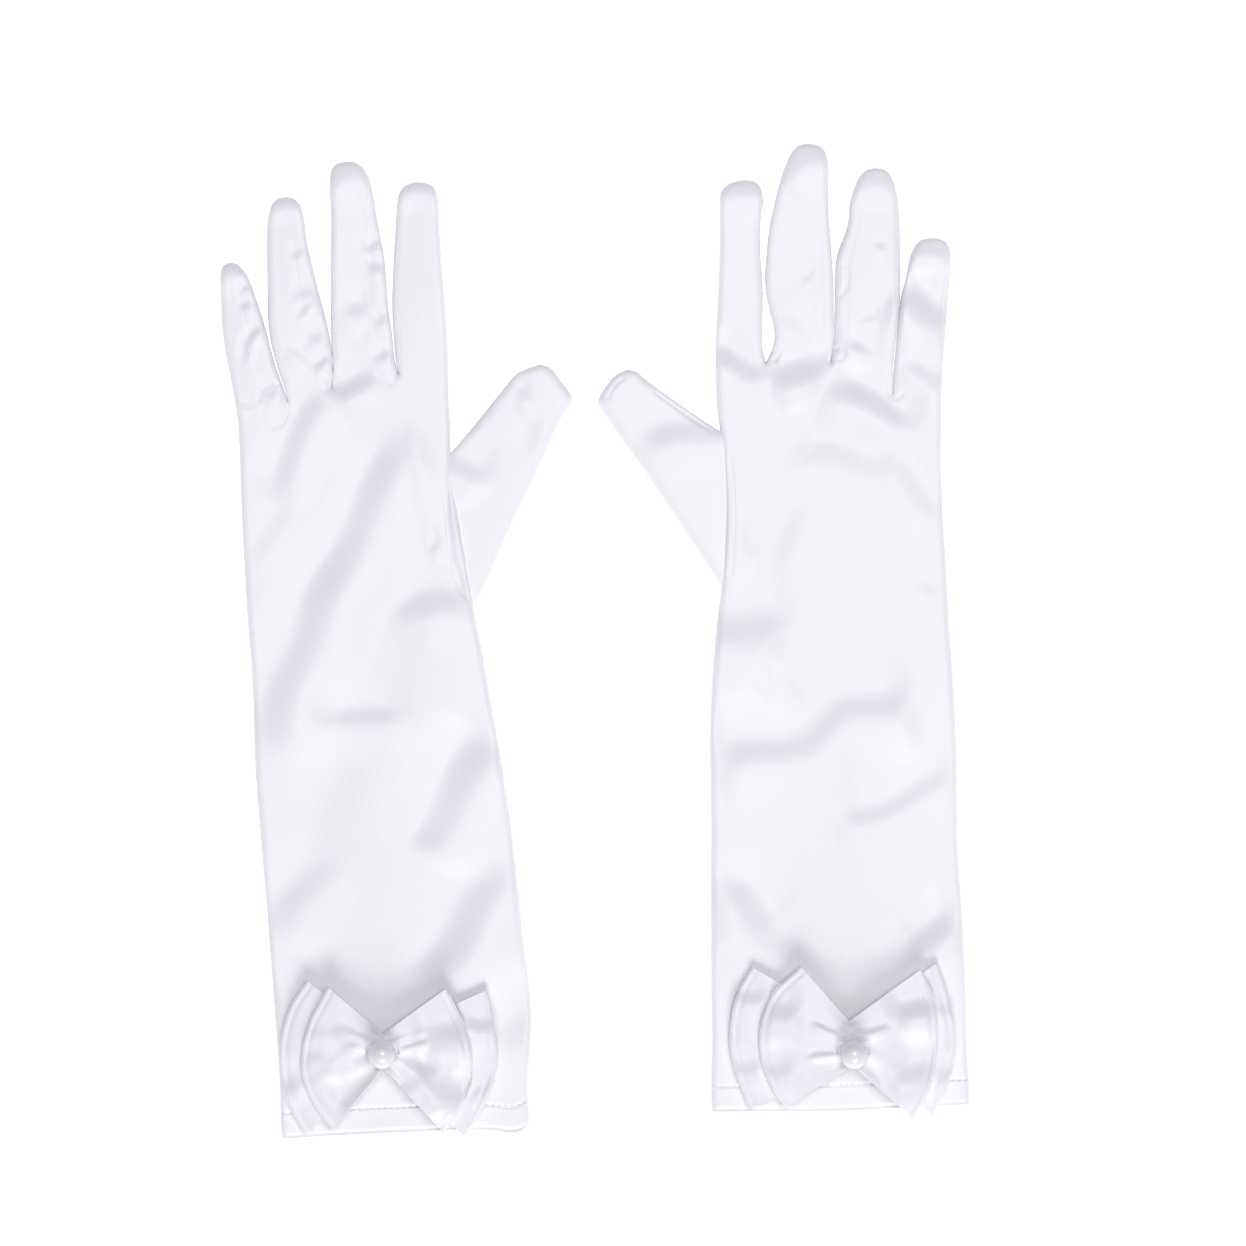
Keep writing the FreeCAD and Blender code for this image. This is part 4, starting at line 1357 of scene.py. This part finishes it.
LEFT = Pattern(
    side=Side.LEFT,
    lie=Lie(-57.85, -152.77, 5.1, False),
    little_edge=((-38.0, 3.1), (-38.3, 8), (-37.9, 13), (-37.4, 22), (-37.1, 36), (-36.9, 56),
                 (-36.6, 80), (-36.5, 108), (-36.1, 122), (-35.2, 136), (-34.7, 150),
                 (-34.5, 168), (-34.0, 185), (-33.3, 202), (-32.6, 214), (-32.2, 224.4)),
    thumb_edge=((38.2, -1.2), (38.4, 5), (38.7, 13), (40.3, 22), (41.6, 33), (41.8, 44),
                (41.4, 60), (41.0, 80), (40.5, 97), (39.5, 114), (38.0, 130), (36.6, 146),
                (35.3, 159), (34.3, 172), (33.3, 185), (32.4, 198), (32.2, 208.7), (32.9, 218),
                (33.2, 226), (33.6, 230.9)),
    hem=((-38.4, 3.3), (-36, 3.3), (-20, 2.9), (0, 2.1), (18, 1.2), (27, 0.2), (31, -0.7),
         (34, -0.9), (36.6, 0.1), (38.5, 2.6)),
    fingers=(
        FingerCut("little",
                  ((-32.2, 224.4), (-33.0, 234), (-34.1, 245), (-34.5, 254), (-34.1, 261),
                   (-33.9, 266), (-33.6, 269.5), (-32.7, 272.2), (-30.6, 273.4)),
                  ((-16.3, 229.1), (-17.5, 234), (-19.1, 240), (-20.5, 248), (-21.5, 254),
                   (-22.8, 260), (-24.0, 265), (-25.7, 269.6), (-27.8, 272.4), (-30.6, 273.4)),
                  (("strip", 1, 0.42),)),
        FingerCut("ring",
                  ((-16.3, 229.1), (-17.2, 234), (-18.7, 240), (-20.0, 248), (-20.2, 255),
                   (-19.8, 260), (-19.3, 268), (-18.6, 277), (-17.7, 284.5), (-16.2, 289.2),
                   (-14.2, 291.4), (-11.4, 291.9)),
                  ((-2.4, 232.2), (-1.5, 239), (-1.7, 247), (-2.6, 255), (-3.8, 262),
                   (-5.0, 270), (-5.9, 277), (-6.2, 284), (-6.9, 288.6), (-8.6, 291.0),
                   (-11.4, 291.9)),
                  (("strip_little_side", -1, 0.1), ("strip_middle_side", 1, 0.34))),
        FingerCut("middle",
                  ((-2.4, 232.2), (-1.6, 239), (-1.4, 247), (-0.8, 255), (-0.2, 262),
                   (0.4, 270), (1.2, 277), (1.8, 284), (2.2, 291), (2.5, 296), (3.6, 299.4),
                   (5.6, 300.8), (8.2, 301.0)),
                  ((18.2, 234.7), (17.5, 240), (17.5, 247), (17.1, 254), (17.2, 262),
                   (17.3, 270), (16.5, 278), (15.9, 285), (15.5, 291), (14.6, 296),
                   (12.8, 299.2), (10.6, 300.7), (8.2, 301.0)),
                  (("strip_ring_side", -1, 0.08), ("strip_index_side", 1, 0.3))),
        FingerCut("index",
                  ((18.2, 234.7), (17.8, 240), (17.9, 247), (18.1, 254), (18.9, 262),
                   (20.0, 270), (21.0, 277), (22.0, 283.5), (23.0, 288.6), (24.8, 291.6),
                   (28.2, 292.9)),
                  ((33.6, 230.9), (34.1, 239), (34.5, 250), (34.7, 262), (34.9, 274),
                   (35.3, 283), (35.2, 288.4), (34.2, 291.0), (31.6, 292.4), (28.2, 292.9)),
                  (("strip", -1, 0.12),))),
    thumb_low=((29.5, 160), (34.6, 160.9), (37.9, 165), (43.5, 175), (49, 185), (54.9, 195),
               (60.7, 205), (66.4, 214.8), (70.4, 220.6), (70.9, 223.2), (67.8, 228.2),
               (65.2, 232.2), (62.4, 233.6)),
    thumb_high=((27, 205.5), (32.2, 208.9), (38.5, 215), (43.3, 220), (48.1, 225),
                (52.6, 229.6), (55.2, 231.6), (58.8, 232.9), (62.4, 233.6)),
    marks=(
        Fold(((-36, 119), (-30, 127), (-25, 138), (-20, 149), (-14, 161), (-7, 173), (0, 184),
              (5, 192), (10, 202), (15, 213), (19, 223)), 2.7, 11.0, 0.16),
        Fold(((-21, 133), (-8, 131), (3, 129.5), (15, 129)), 1.6, 7.5),
        Fold(((10, 84), (17, 93), (25, 105), (31, 114), (39, 121)), 2.7, 10.5, 0.2),
        Fold(((-36, 60), (-29, 74), (-21, 82), (-9, 86)), 2.0, 9.5),
        Fold(((-15, 94), (-10, 105), (-2, 115)), 0.45, 9.0),
        Fold(((4, 103), (14, 99)), 0.5, 6.0),
        Fold(((-44, 48), (-20, 47), (0, 47), (12, 51), (22, 60), (30, 71), (37, 84)), 2.0, 14.0,
             0.14),
        Fold(((8, 46), (20, 57), (30, 70), (38, 84)), 1.4, 12.0, 0.25),
        Fold(((54, 38), (37, 29), (20, 27)), 1.9, 15.0, 0.3),
        Fold(((-23, 196), (-17, 210), (-12, 222), (-5, 233)), 1.5, 7.0, 0.25),
        Fold(((-4, 227.5), (4, 231.5), (13, 235)), 1.5, 5.5, 0.3),
        Fold(((-33, 166), (-18, 187), (-5, 205), (7, 226)), 0.4, 6.0),
        Fold(((-34, 176), (-24, 190), (-12, 207)), 0.35, 5.0),
        Fold(((8, 158), (17, 161.5), (26, 162.5), (37, 157)), 2.6, 10.5, 0.4),
        Fold(((22.6, 180), (28, 180.5)), 0.9, 3.6, 0.45),
        Fold(((25, 168), (22, 190), (20, 214), (21, 226)), 0.4, 4.0),
        Crease(((30.2, 199), (29.6, 188), (29.9, 176), (31.6, 168), (34.6, 161.5)), 0.5, 0.8),
        Crease(((31.6, 203), (31.7, 190), (32.6, 176), (34.6, 162)), -0.5, 1.1),
        Fold(((-32, 231), (-27, 226.5)), 0.5, 2.6, 0.45),
        # Gussets and puckers at the finger roots.
        Fold(((-28.5, 240), (-26.4, 248), (-21, 253.5)), 0.6, 2.2, 0.3),
        Crease(((-25, 229), (-24.4, 232.6), (-21.5, 235), (-18.2, 234)), 0.18, 0.8),
        Crease(((-25.2, 226.8), (-23, 222.6), (-20, 221.6), (-17.4, 224), (-16.5, 228.6)), 0.22,
               0.8),
        Fold(((-25, 230.5), (-17.5, 233)), 0.8, 4.4, 0.45),
        Fold(((-8, 236.5), (-1, 242.5)), 0.9, 3.6, 0.4),
        Crease(((-6.5, 233.5), (-4.5, 231.2), (-2.4, 231.6), (-1, 234)), 0.15, 0.9),
        Fold(((-14, 246.5), (-8.5, 239.5)), 0.6, 3.4, 0.45),
        Fold(((-13, 260.5), (-3.5, 262)), 0.9, 4.6, 0.45),
        Fold(((-11.5, 253.5), (-4.5, 260)), 0.5, 2.2, 0.4),
        Fold(((-12, 272), (-6, 275.5)), 0.45, 2.6, 0.45),
        Fold(((-10.5, 248), (-1.5, 247)), 0.7, 4.4, 0.45),
        Fold(((10.5, 271.5), (18.5, 276.5)), 0.8, 3.2, 0.45),
        Fold(((10.5, 267), (18.5, 268)), 0.8, 4.6, 0.45),
        Fold(((11, 249), (18.5, 253.5)), 0.6, 3.2, 0.45),
        Fold(((1, 256.5), (12.5, 252.8)), 1.0, 5.6, 0.45),
        Fold(((10, 237.5), (18.5, 243)), 0.7, 3.2, 0.4),
        Crease(((11.8, 235.4), (13.6, 232.8), (16, 232), (18.2, 234.4)), 0.15, 0.9),
        Fold(((-38, 268), (-31, 271.5), (-24, 269)), 1.0, 4.5, 0.2),
        Fold(((-20, 288), (-11.5, 290), (-2, 287.5)), 0.9, 4.0, 0.2),
        Fold(((-2, 291), (3.5, 296.5), (10, 298.5), (18, 296)), 1.4, 6.5, 0.2),
        Fold(((19, 288), (28, 291), (39, 288)), 1.0, 4.5, 0.2),
        Fold(((-29.5, 264), (-23.5, 265.5)), 0.45, 2.8, 0.45),
        Fold(((-29, 258.5), (-23.5, 260)), 0.45, 2.8, 0.45),
    ),
    thumb_marks=(
        Fold(((27, 209), (36, 203.5), (45, 197)), 1.8, 7.5, 0.35),
        Fold(((52, 224), (60, 225)), 0.7, 5.0, 0.45),
        Fold(((57, 203), (60, 220)), 0.4, 4.5, 0.4),
        Crease(((36, 164.5), (41, 173.5), (52, 193), (66, 217)), 0.12, 0.6),
    ),
    loops={
        "bow_back": (
            LoopCut(((-30.8, 4.6), (-34.2, 12.5), (-36.4, 22), (-35.8, 33), (-32, 43.5),
                     (-26.0, 51.4)),
                    ((-4.3, 23.6), (-4.3, 28), (-4.3, 32.4)), 10.0,
                    (Fold(((-40, 16), (-32, 20), (-26, 18)), 1.7, 5.5, 0.35),)),
            LoopCut(((18.0, -0.6), (23.6, 6.4), (28.0, 14.5), (30.3, 23), (30.1, 32),
                     (28.8, 43.6)),
                    ((-4.5, 23.6), (-4.5, 28), (-4.5, 32.4)), 10.0,
                    (Fold(((19, 36), (26, 33), (33, 34)), 1.8, 5.5, 0.35),
                     Fold(((18, 11), (26, 14), (33, 19)), 1.7, 5.0, 0.35)))),
        "bow_front": (
            LoopCut(((-22.0, 5.5), (-26.6, 12.6), (-29.4, 20), (-29.6, 28), (-26.6, 38),
                     (-19.6, 49.2)),
                    ((-4.2, 23.4), (-4.2, 28), (-3.6, 33.2)), 13.2,
                    (Fold(((-6, 29.0), (-11, 30.2), (-17, 31.2)), 0.7, 1.8, 0.3),
                     Fold(((-3, 23.6), (-13, 24.4), (-21, 23.4), (-30, 19.5)), 0.6, 3.0, 0.25),
                     Fold(((-21, 10), (-13, 15.5), (-4, 22)), 3.2, 6.5, 0.3),
                     Fold(((-31, 29), (-23, 27.5), (-13, 27)), 1.3, 5.0, 0.35),
                     Fold(((-31, 35.5), (-24, 35), (-16, 33)), 1.0, 4.0, 0.35),
                     Fold(((-20, 37), (-14, 35), (-8, 30.5)), 0.7, 3.4, 0.3))),
            LoopCut(((12.0, 1.4), (17.6, 9), (21.6, 17.5), (22.6, 25.5), (21.0, 34),
                     (16.6, 45.4)),
                    ((-4.6, 23.4), (-4.6, 28), (-4.0, 33.2)), 13.2,
                    (Fold(((-2, 28.2), (5, 29.0), (11, 30.2)), 1.1, 1.8, 0.3),
                     Fold(((-3, 23.4), (5, 22.8), (12, 21.0), (20, 22)), 0.5, 3.0, 0.25),
                     Fold(((4, 28.5), (15, 30.5), (26, 32)), 3.8, 9.0, 0.35),
                     Fold(((0, 22), (10, 18.0), (16, 12.5), (20, 6)), 4.0, 8.0, 0.3),
                     Fold(((-1.5, 18), (2, 15.5), (7, 9)), 0.8, 3.0, 0.35)))),
    },
    pinch_centre=(-4.4, 28.0),
    pinch_half=4.2,
)

RIGHT = Pattern(
    side=Side.RIGHT,
    lie=Lie(75.65, -144.77, 0.9, True),
    little_edge=((-39.6, 1.0), (-39.8, 7), (-39.5, 13), (-39.1, 22), (-39.2, 36), (-38.8, 52),
                 (-38.2, 66), (-37.4, 82), (-37.5, 106), (-37.2, 124), (-36.4, 140),
                 (-35.7, 153), (-35.2, 168), (-34.5, 182), (-34.2, 200), (-34.6, 214),
                 (-34.8, 221.5)),
    thumb_edge=((39.6, 0.4), (39.9, 6), (39.7, 13), (39.3, 22), (39.3, 40), (39.1, 66),
                (38.6, 86), (38.5, 108), (38.1, 124), (37.0, 140), (35.5, 153), (34.0, 163),
                (33.0, 174), (32.5, 188), (32.9, 200), (33.8, 210), (34.7, 218), (35.0, 229.5)),
    hem=((-39.8, 1.9), (-30, 1.7), (-10, 0.9), (5, 0.6), (20, 0.7), (39.9, 0.9)),
    fingers=(
        FingerCut("little",
                  ((-34.8, 221.5), (-35.2, 229), (-36.0, 237), (-36.8, 246), (-37.6, 254),
                   (-38.1, 260.5), (-38.1, 264), (-37.0, 266.8), (-34.8, 268.3), (-31.8, 268.6)),
                  ((-19.6, 221.0), (-19.9, 228), (-20.7, 235), (-21.55, 243), (-22.5, 250.4),
                   (-23.6, 254.5), (-24.7, 259), (-25.7, 263.2), (-27.2, 266.4),
                   (-29.2, 268.1), (-31.8, 268.6)),
                  (("strip", 1, 0.14),)),
        FingerCut("ring",
                  ((-19.6, 221.0), (-19.7, 228), (-20.5, 235), (-21.45, 243), (-22.3, 250.4),
                   (-22.5, 258), (-22.7, 268), (-22.5, 275), (-22.1, 281), (-21.0, 286),
                   (-19.2, 289), (-17.4, 290.1), (-15.0, 290.4)),
                  ((-0.7, 231.1), (-1.6, 238), (-2.0, 246), (-2.3, 255), (-2.6, 261.5),
                   (-3.8, 266), (-5.4, 270), (-6.6, 274), (-7.1, 279), (-8.4, 283.6),
                   (-10.2, 287.6), (-12.4, 289.8), (-15.0, 290.4)),
                  (("strip_little_side", -1, 0.08), ("strip_middle_side", 1, 0.2))),
        FingerCut("middle",
                  ((-0.7, 231.1), (-1.5, 238), (-1.8, 246), (-1.9, 255), (-1.6, 262),
                   (-1.3, 268), (-0.9, 275), (-0.8, 282), (-1.0, 288), (-0.9, 292.6),
                   (0.1, 295.9), (2.2, 297.7), (5.8, 298.3)),
                  ((19.3, 231.2), (17.3, 235.5), (16.6, 240), (17.8, 246), (18.8, 251),
                   (19.2, 257), (18.7, 264), (17.8, 272), (16.2, 279), (14.6, 285.4),
                   (12.8, 290.6), (10.9, 294.8), (8.8, 297.4), (5.8, 298.3)),
                  (("strip_ring_side", -1, 0.2), ("strip_index_side", 1, 0.08))),
        FingerCut("index",
                  ((19.3, 231.2), (20.2, 235), (20.2, 241), (19.9, 248), (19.9, 255),
                   (20.4, 263), (20.4, 270), (20.0, 276), (19.3, 280.5), (19.9, 284.6),
                   (21.8, 286.8), (25.0, 287.3)),
                  ((35.0, 229.5), (34.6, 239), (33.9, 250), (33.4, 259), (33.0, 268),
                   (32.9, 276), (32.8, 281), (32.4, 283.8), (30.4, 285.8), (28.0, 286.9),
                   (25.0, 287.3)),
                  (("strip", -1, 0.1),))),
    thumb_low=((29, 161.8), (33.9, 162.4), (39.1, 170), (45.4, 180), (52.0, 190), (58.6, 200),
               (65.5, 210), (70.2, 217.4), (71.2, 220.0), (68.8, 224.4), (65.6, 228.0),
               (62.2, 229.5)),
    thumb_high=((28, 206.5), (33.8, 210.2), (41.2, 215.2), (47.4, 219.6), (53.6, 224.2),
                (57.2, 227.2), (59.4, 229.0), (62.2, 229.5)),
    marks=(
        Fold(((40, 109), (29, 110.5), (19, 111), (10, 113.5), (4, 118), (-1, 122.5),
              (-8, 125), (-18, 126.5), (-26, 129.5)), 2.3, 10.5, 0.14),
        Fold(((2, 93), (-6, 91.5), (-13, 91.5), (-20, 94.5), (-29, 101), (-39, 104)), 1.5, 7.5,
             0.2),
        Fold(((46, 148), (32, 149), (22, 149), (12, 146)), 2.8, 12.5, 0.3),
        Fold(((29, 172), (20, 172)), 0.6, 7.0, 0.45),
        Fold(((20, 150), (17, 165), (12, 180), (8, 190)), 0.8, 7.0),
        Fold(((39, 237), (31, 231.5), (25, 227.5), (18, 226)), 2.0, 7.0, 0.3),
        Fold(((21, 224.5), (13, 227.5), (6, 228.5), (-1, 225.5)), 2.3, 9.0, 0.3),
        Fold(((1, 226), (-6, 221.5), (-13, 217.5), (-20, 212), (-25, 207)), 2.5, 8.5, 0.3),
        Fold(((-19, 204), (-25, 192), (-33, 178)), 0.8, 6.5),
        Fold(((19, 200), (6, 202.5), (-5, 202), (-19, 195)), 1.0, 9.0),
        Fold(((15, 213), (3, 209)), 0.4, 6.0),
        Fold(((40, 72), (31, 66), (25, 57), (17, 50), (8, 46), (-2, 44), (-12, 44),
              (-21, 47), (-29, 53), (-41, 60)), 2.1, 13.0, 0.12),
        Fold(((41, 74), (31, 66), (22, 54)), 1.2, 10.0, 0.3),
        Fold(((-22, 50), (-29, 55), (-38, 59)), 1.0, 8.0),
        Fold(((23, 127), (13, 135)), 0.5, 6.0),
        Fold(((-27, 163), (-32, 158)), 0.4, 4.0),
        Crease(((31.6, 163), (30.4, 176), (30.2, 190), (31.2, 205)), 0.25, 0.8),
        Fold(((-19, 254), (-28, 247), (-39, 238)), 2.7, 8.5, 0.35),
        Fold(((-22, 231.5), (-30, 226), (-38, 221)), 1.0, 5.5, 0.35),
        Fold(((14, 246), (5, 236)), 0.9, 6.0, 0.4),
        Fold(((-4, 238), (-17, 230)), 1.0, 4.4, 0.4),
        Fold(((-10, 245), (-15, 243)), 0.4, 3.0, 0.45),
        Fold(((8, 257), (4, 256)), 0.4, 3.0, 0.45),
        Fold(((38, 282.5), (26, 284.6), (16, 284)), 1.3, 6.0, 0.2),
        Fold(((17, 286), (9, 293.5), (3, 295), (-5, 293)), 1.6, 8.0, 0.2),
        Fold(((-5, 283), (-14, 287.5), (-25, 284)), 1.1, 6.0, 0.2),
        Fold(((-22, 263), (-31, 266), (-41, 262)), 1.0, 5.5, 0.2),
        Fold(((-14, 267), (-19, 265)), 0.4, 2.6, 0.45),
        Crease(((-1.2, 234.5), (-3.6, 235), (-4.4, 232.6), (-2.4, 230.8)), 0.3, 0.7),
        Crease(((-19.6, 229), (-18.2, 225), (-18.6, 221), (-21.4, 219.6), (-22.8, 222)), 0.3,
               0.8),
        Crease(((19.5, 231.6), (17.4, 234.8), (15.8, 233.4), (16.6, 231)), 0.45, 0.7),
        Crease(((-2.6, 250), (-4.6, 252), (-6.0, 256), (-5.4, 260), (-3.4, 261)), 0.2, 0.8),
        Crease(((-36.9, 264), (-36.2, 256), (-35.2, 246), (-34.2, 236)), 0.35, 0.6),
    ),
    thumb_marks=(
        Fold(((62, 206), (52, 208), (42, 209.5), (30, 208)), 1.6, 8.5, 0.35),
        Crease(((35, 209.4), (41, 213.2), (48, 218.2), (55, 223.4)), 0.3, 0.6),
        Crease(((68.6, 219.5), (66.5, 224), (62.5, 227.4)), 0.18, 0.6),
    ),
    loops={
        "bow_back": (
            LoopCut(((28.4, 2.0), (31.4, 10.5), (33.6, 18), (33.8, 27), (31.6, 37),
                     (26.8, 45.6)),
                    ((-3.6, 15.4), (-3.6, 20), (-3.0, 27.4)), 10.0,
                    (Fold(((36, 17), (29, 14), (22, 17)), 1.6, 5.0, 0.35),
                     Fold(((35, 39), (28, 36), (21, 38)), 1.2, 4.5, 0.35))),
            LoopCut(((-28.0, -0.6), (-31.8, 6.6), (-34.8, 15), (-35.4, 24), (-33.4, 35),
                     (-30.0, 46.0)),
                    ((-3.4, 15.4), (-3.4, 20), (-2.8, 27.4)), 10.0,
                    (Fold(((-38, 31), (-32, 31.5), (-26, 30)), 1.4, 5.5, 0.35),
                     Fold(((-38, 14), (-32, 11), (-26, 13)), 1.6, 5.5, 0.35)))),
        "bow_front": (
            LoopCut(((17.4, 2.6), (21.6, 9), (24.6, 17), (24.8, 27), (21.0, 37),
                     (12.0, 45.8)),
                    ((-3.6, 15.2), (-3.6, 20), (-2.7, 28.6)), 13.2,
                    (Fold(((-2, 23.4), (4, 26.2), (10, 29.4)), 1.0, 1.8, 0.3),
                     Fold(((-1, 18.6), (6, 18.7), (12, 18.1)), 0.8, 1.5, 0.3),
                     Fold(((26, 33), (18, 31.5), (10, 32)), 2.6, 7.0, 0.4),
                     Fold(((27, 15), (19, 14.5), (11, 17)), 1.8, 6.5, 0.4))),
            LoopCut(((-22.0, -1.6), (-26.4, 6.6), (-29.0, 15), (-29.8, 25), (-28.6, 35),
                     (-25.0, 44.2)),
                    ((-3.4, 15.2), (-3.4, 20), (-2.3, 28.6)), 13.2,
                    (Fold(((-4.5, 23.6), (-11, 26), (-16, 27.8)), 0.7, 1.8, 0.3),
                     Fold(((-14, 27.5), (-23, 31), (-33, 32.5)), 2.8, 7.5, 0.4),
                     Fold(((-12, 14), (-22, 12.5), (-33, 15)), 3.6, 9.0, 0.4),
                     Fold(((-6, 14.5), (-11, 10.5), (-17, 5)), 0.5, 2.4, 0.3)))),
    },
    pinch_centre=(-3.5, 19.6),
    pinch_half=4.2,
)


# ---------------------------------------------------------------------------- main

def dress_pearl(side: Side, finishes: Finishes) -> None:
    """Give the drilled pearl its lacquer."""
    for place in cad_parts[f"{side.value}_pearl"].material_slots:
        place.material = finishes.pearl


def main() -> None:
    """Build both gloves and the studio."""
    logging.basicConfig(level=logging.INFO, format="%(name)s: %(message)s")
    finishes = Finishes(
        # The second colour is painted shade for the rib grooves.
        satin=Satin("polyester_charmeuse", "f6f6f7", "f1f1f3").build(),
        # The bows' satin is woven, not knitted: smoother, with a tighter highlight and fainter
        # painted shade in its rib grooves.
        bow=Satin("bow_charmeuse", "efeef0", "edecef", roughness=0.38, rib_depth=0.05).build(),
        # Spun thread is matt and a shade greyer than the cloth, so stitches show as fine lines.
        thread=Plain("polyester_thread", "e0e0e8", 0.6).build(),
        # Lacquer over a plastic bead: a soft white body under small, sharp highlights.
        pearl=Plain("pearl_lacquer", "e7e5e6", 0.4, coat=1.0).build())
    for pattern in (LEFT, RIGHT):
        glove = Glove(pattern, finishes)
        glove.make_body()
        LOG.info("%s body and hem", glove.key)
        for cut in pattern.fingers:
            glove.make_finger(cut)
            LOG.info("%s %s finger", glove.key, cut.name)
        glove.make_thumb()
        LOG.info("%s thumb", glove.key)
        LOG.info("%s bow: %s", glove.key, ", ".join(Bow(pattern, finishes).make()))
        HemStitches(glove).make()
        LOG.info("%s hem stitches", glove.key)
        dress_pearl(pattern.side, finishes)
    Studio().build()


if __name__ == "__main__":
    main()
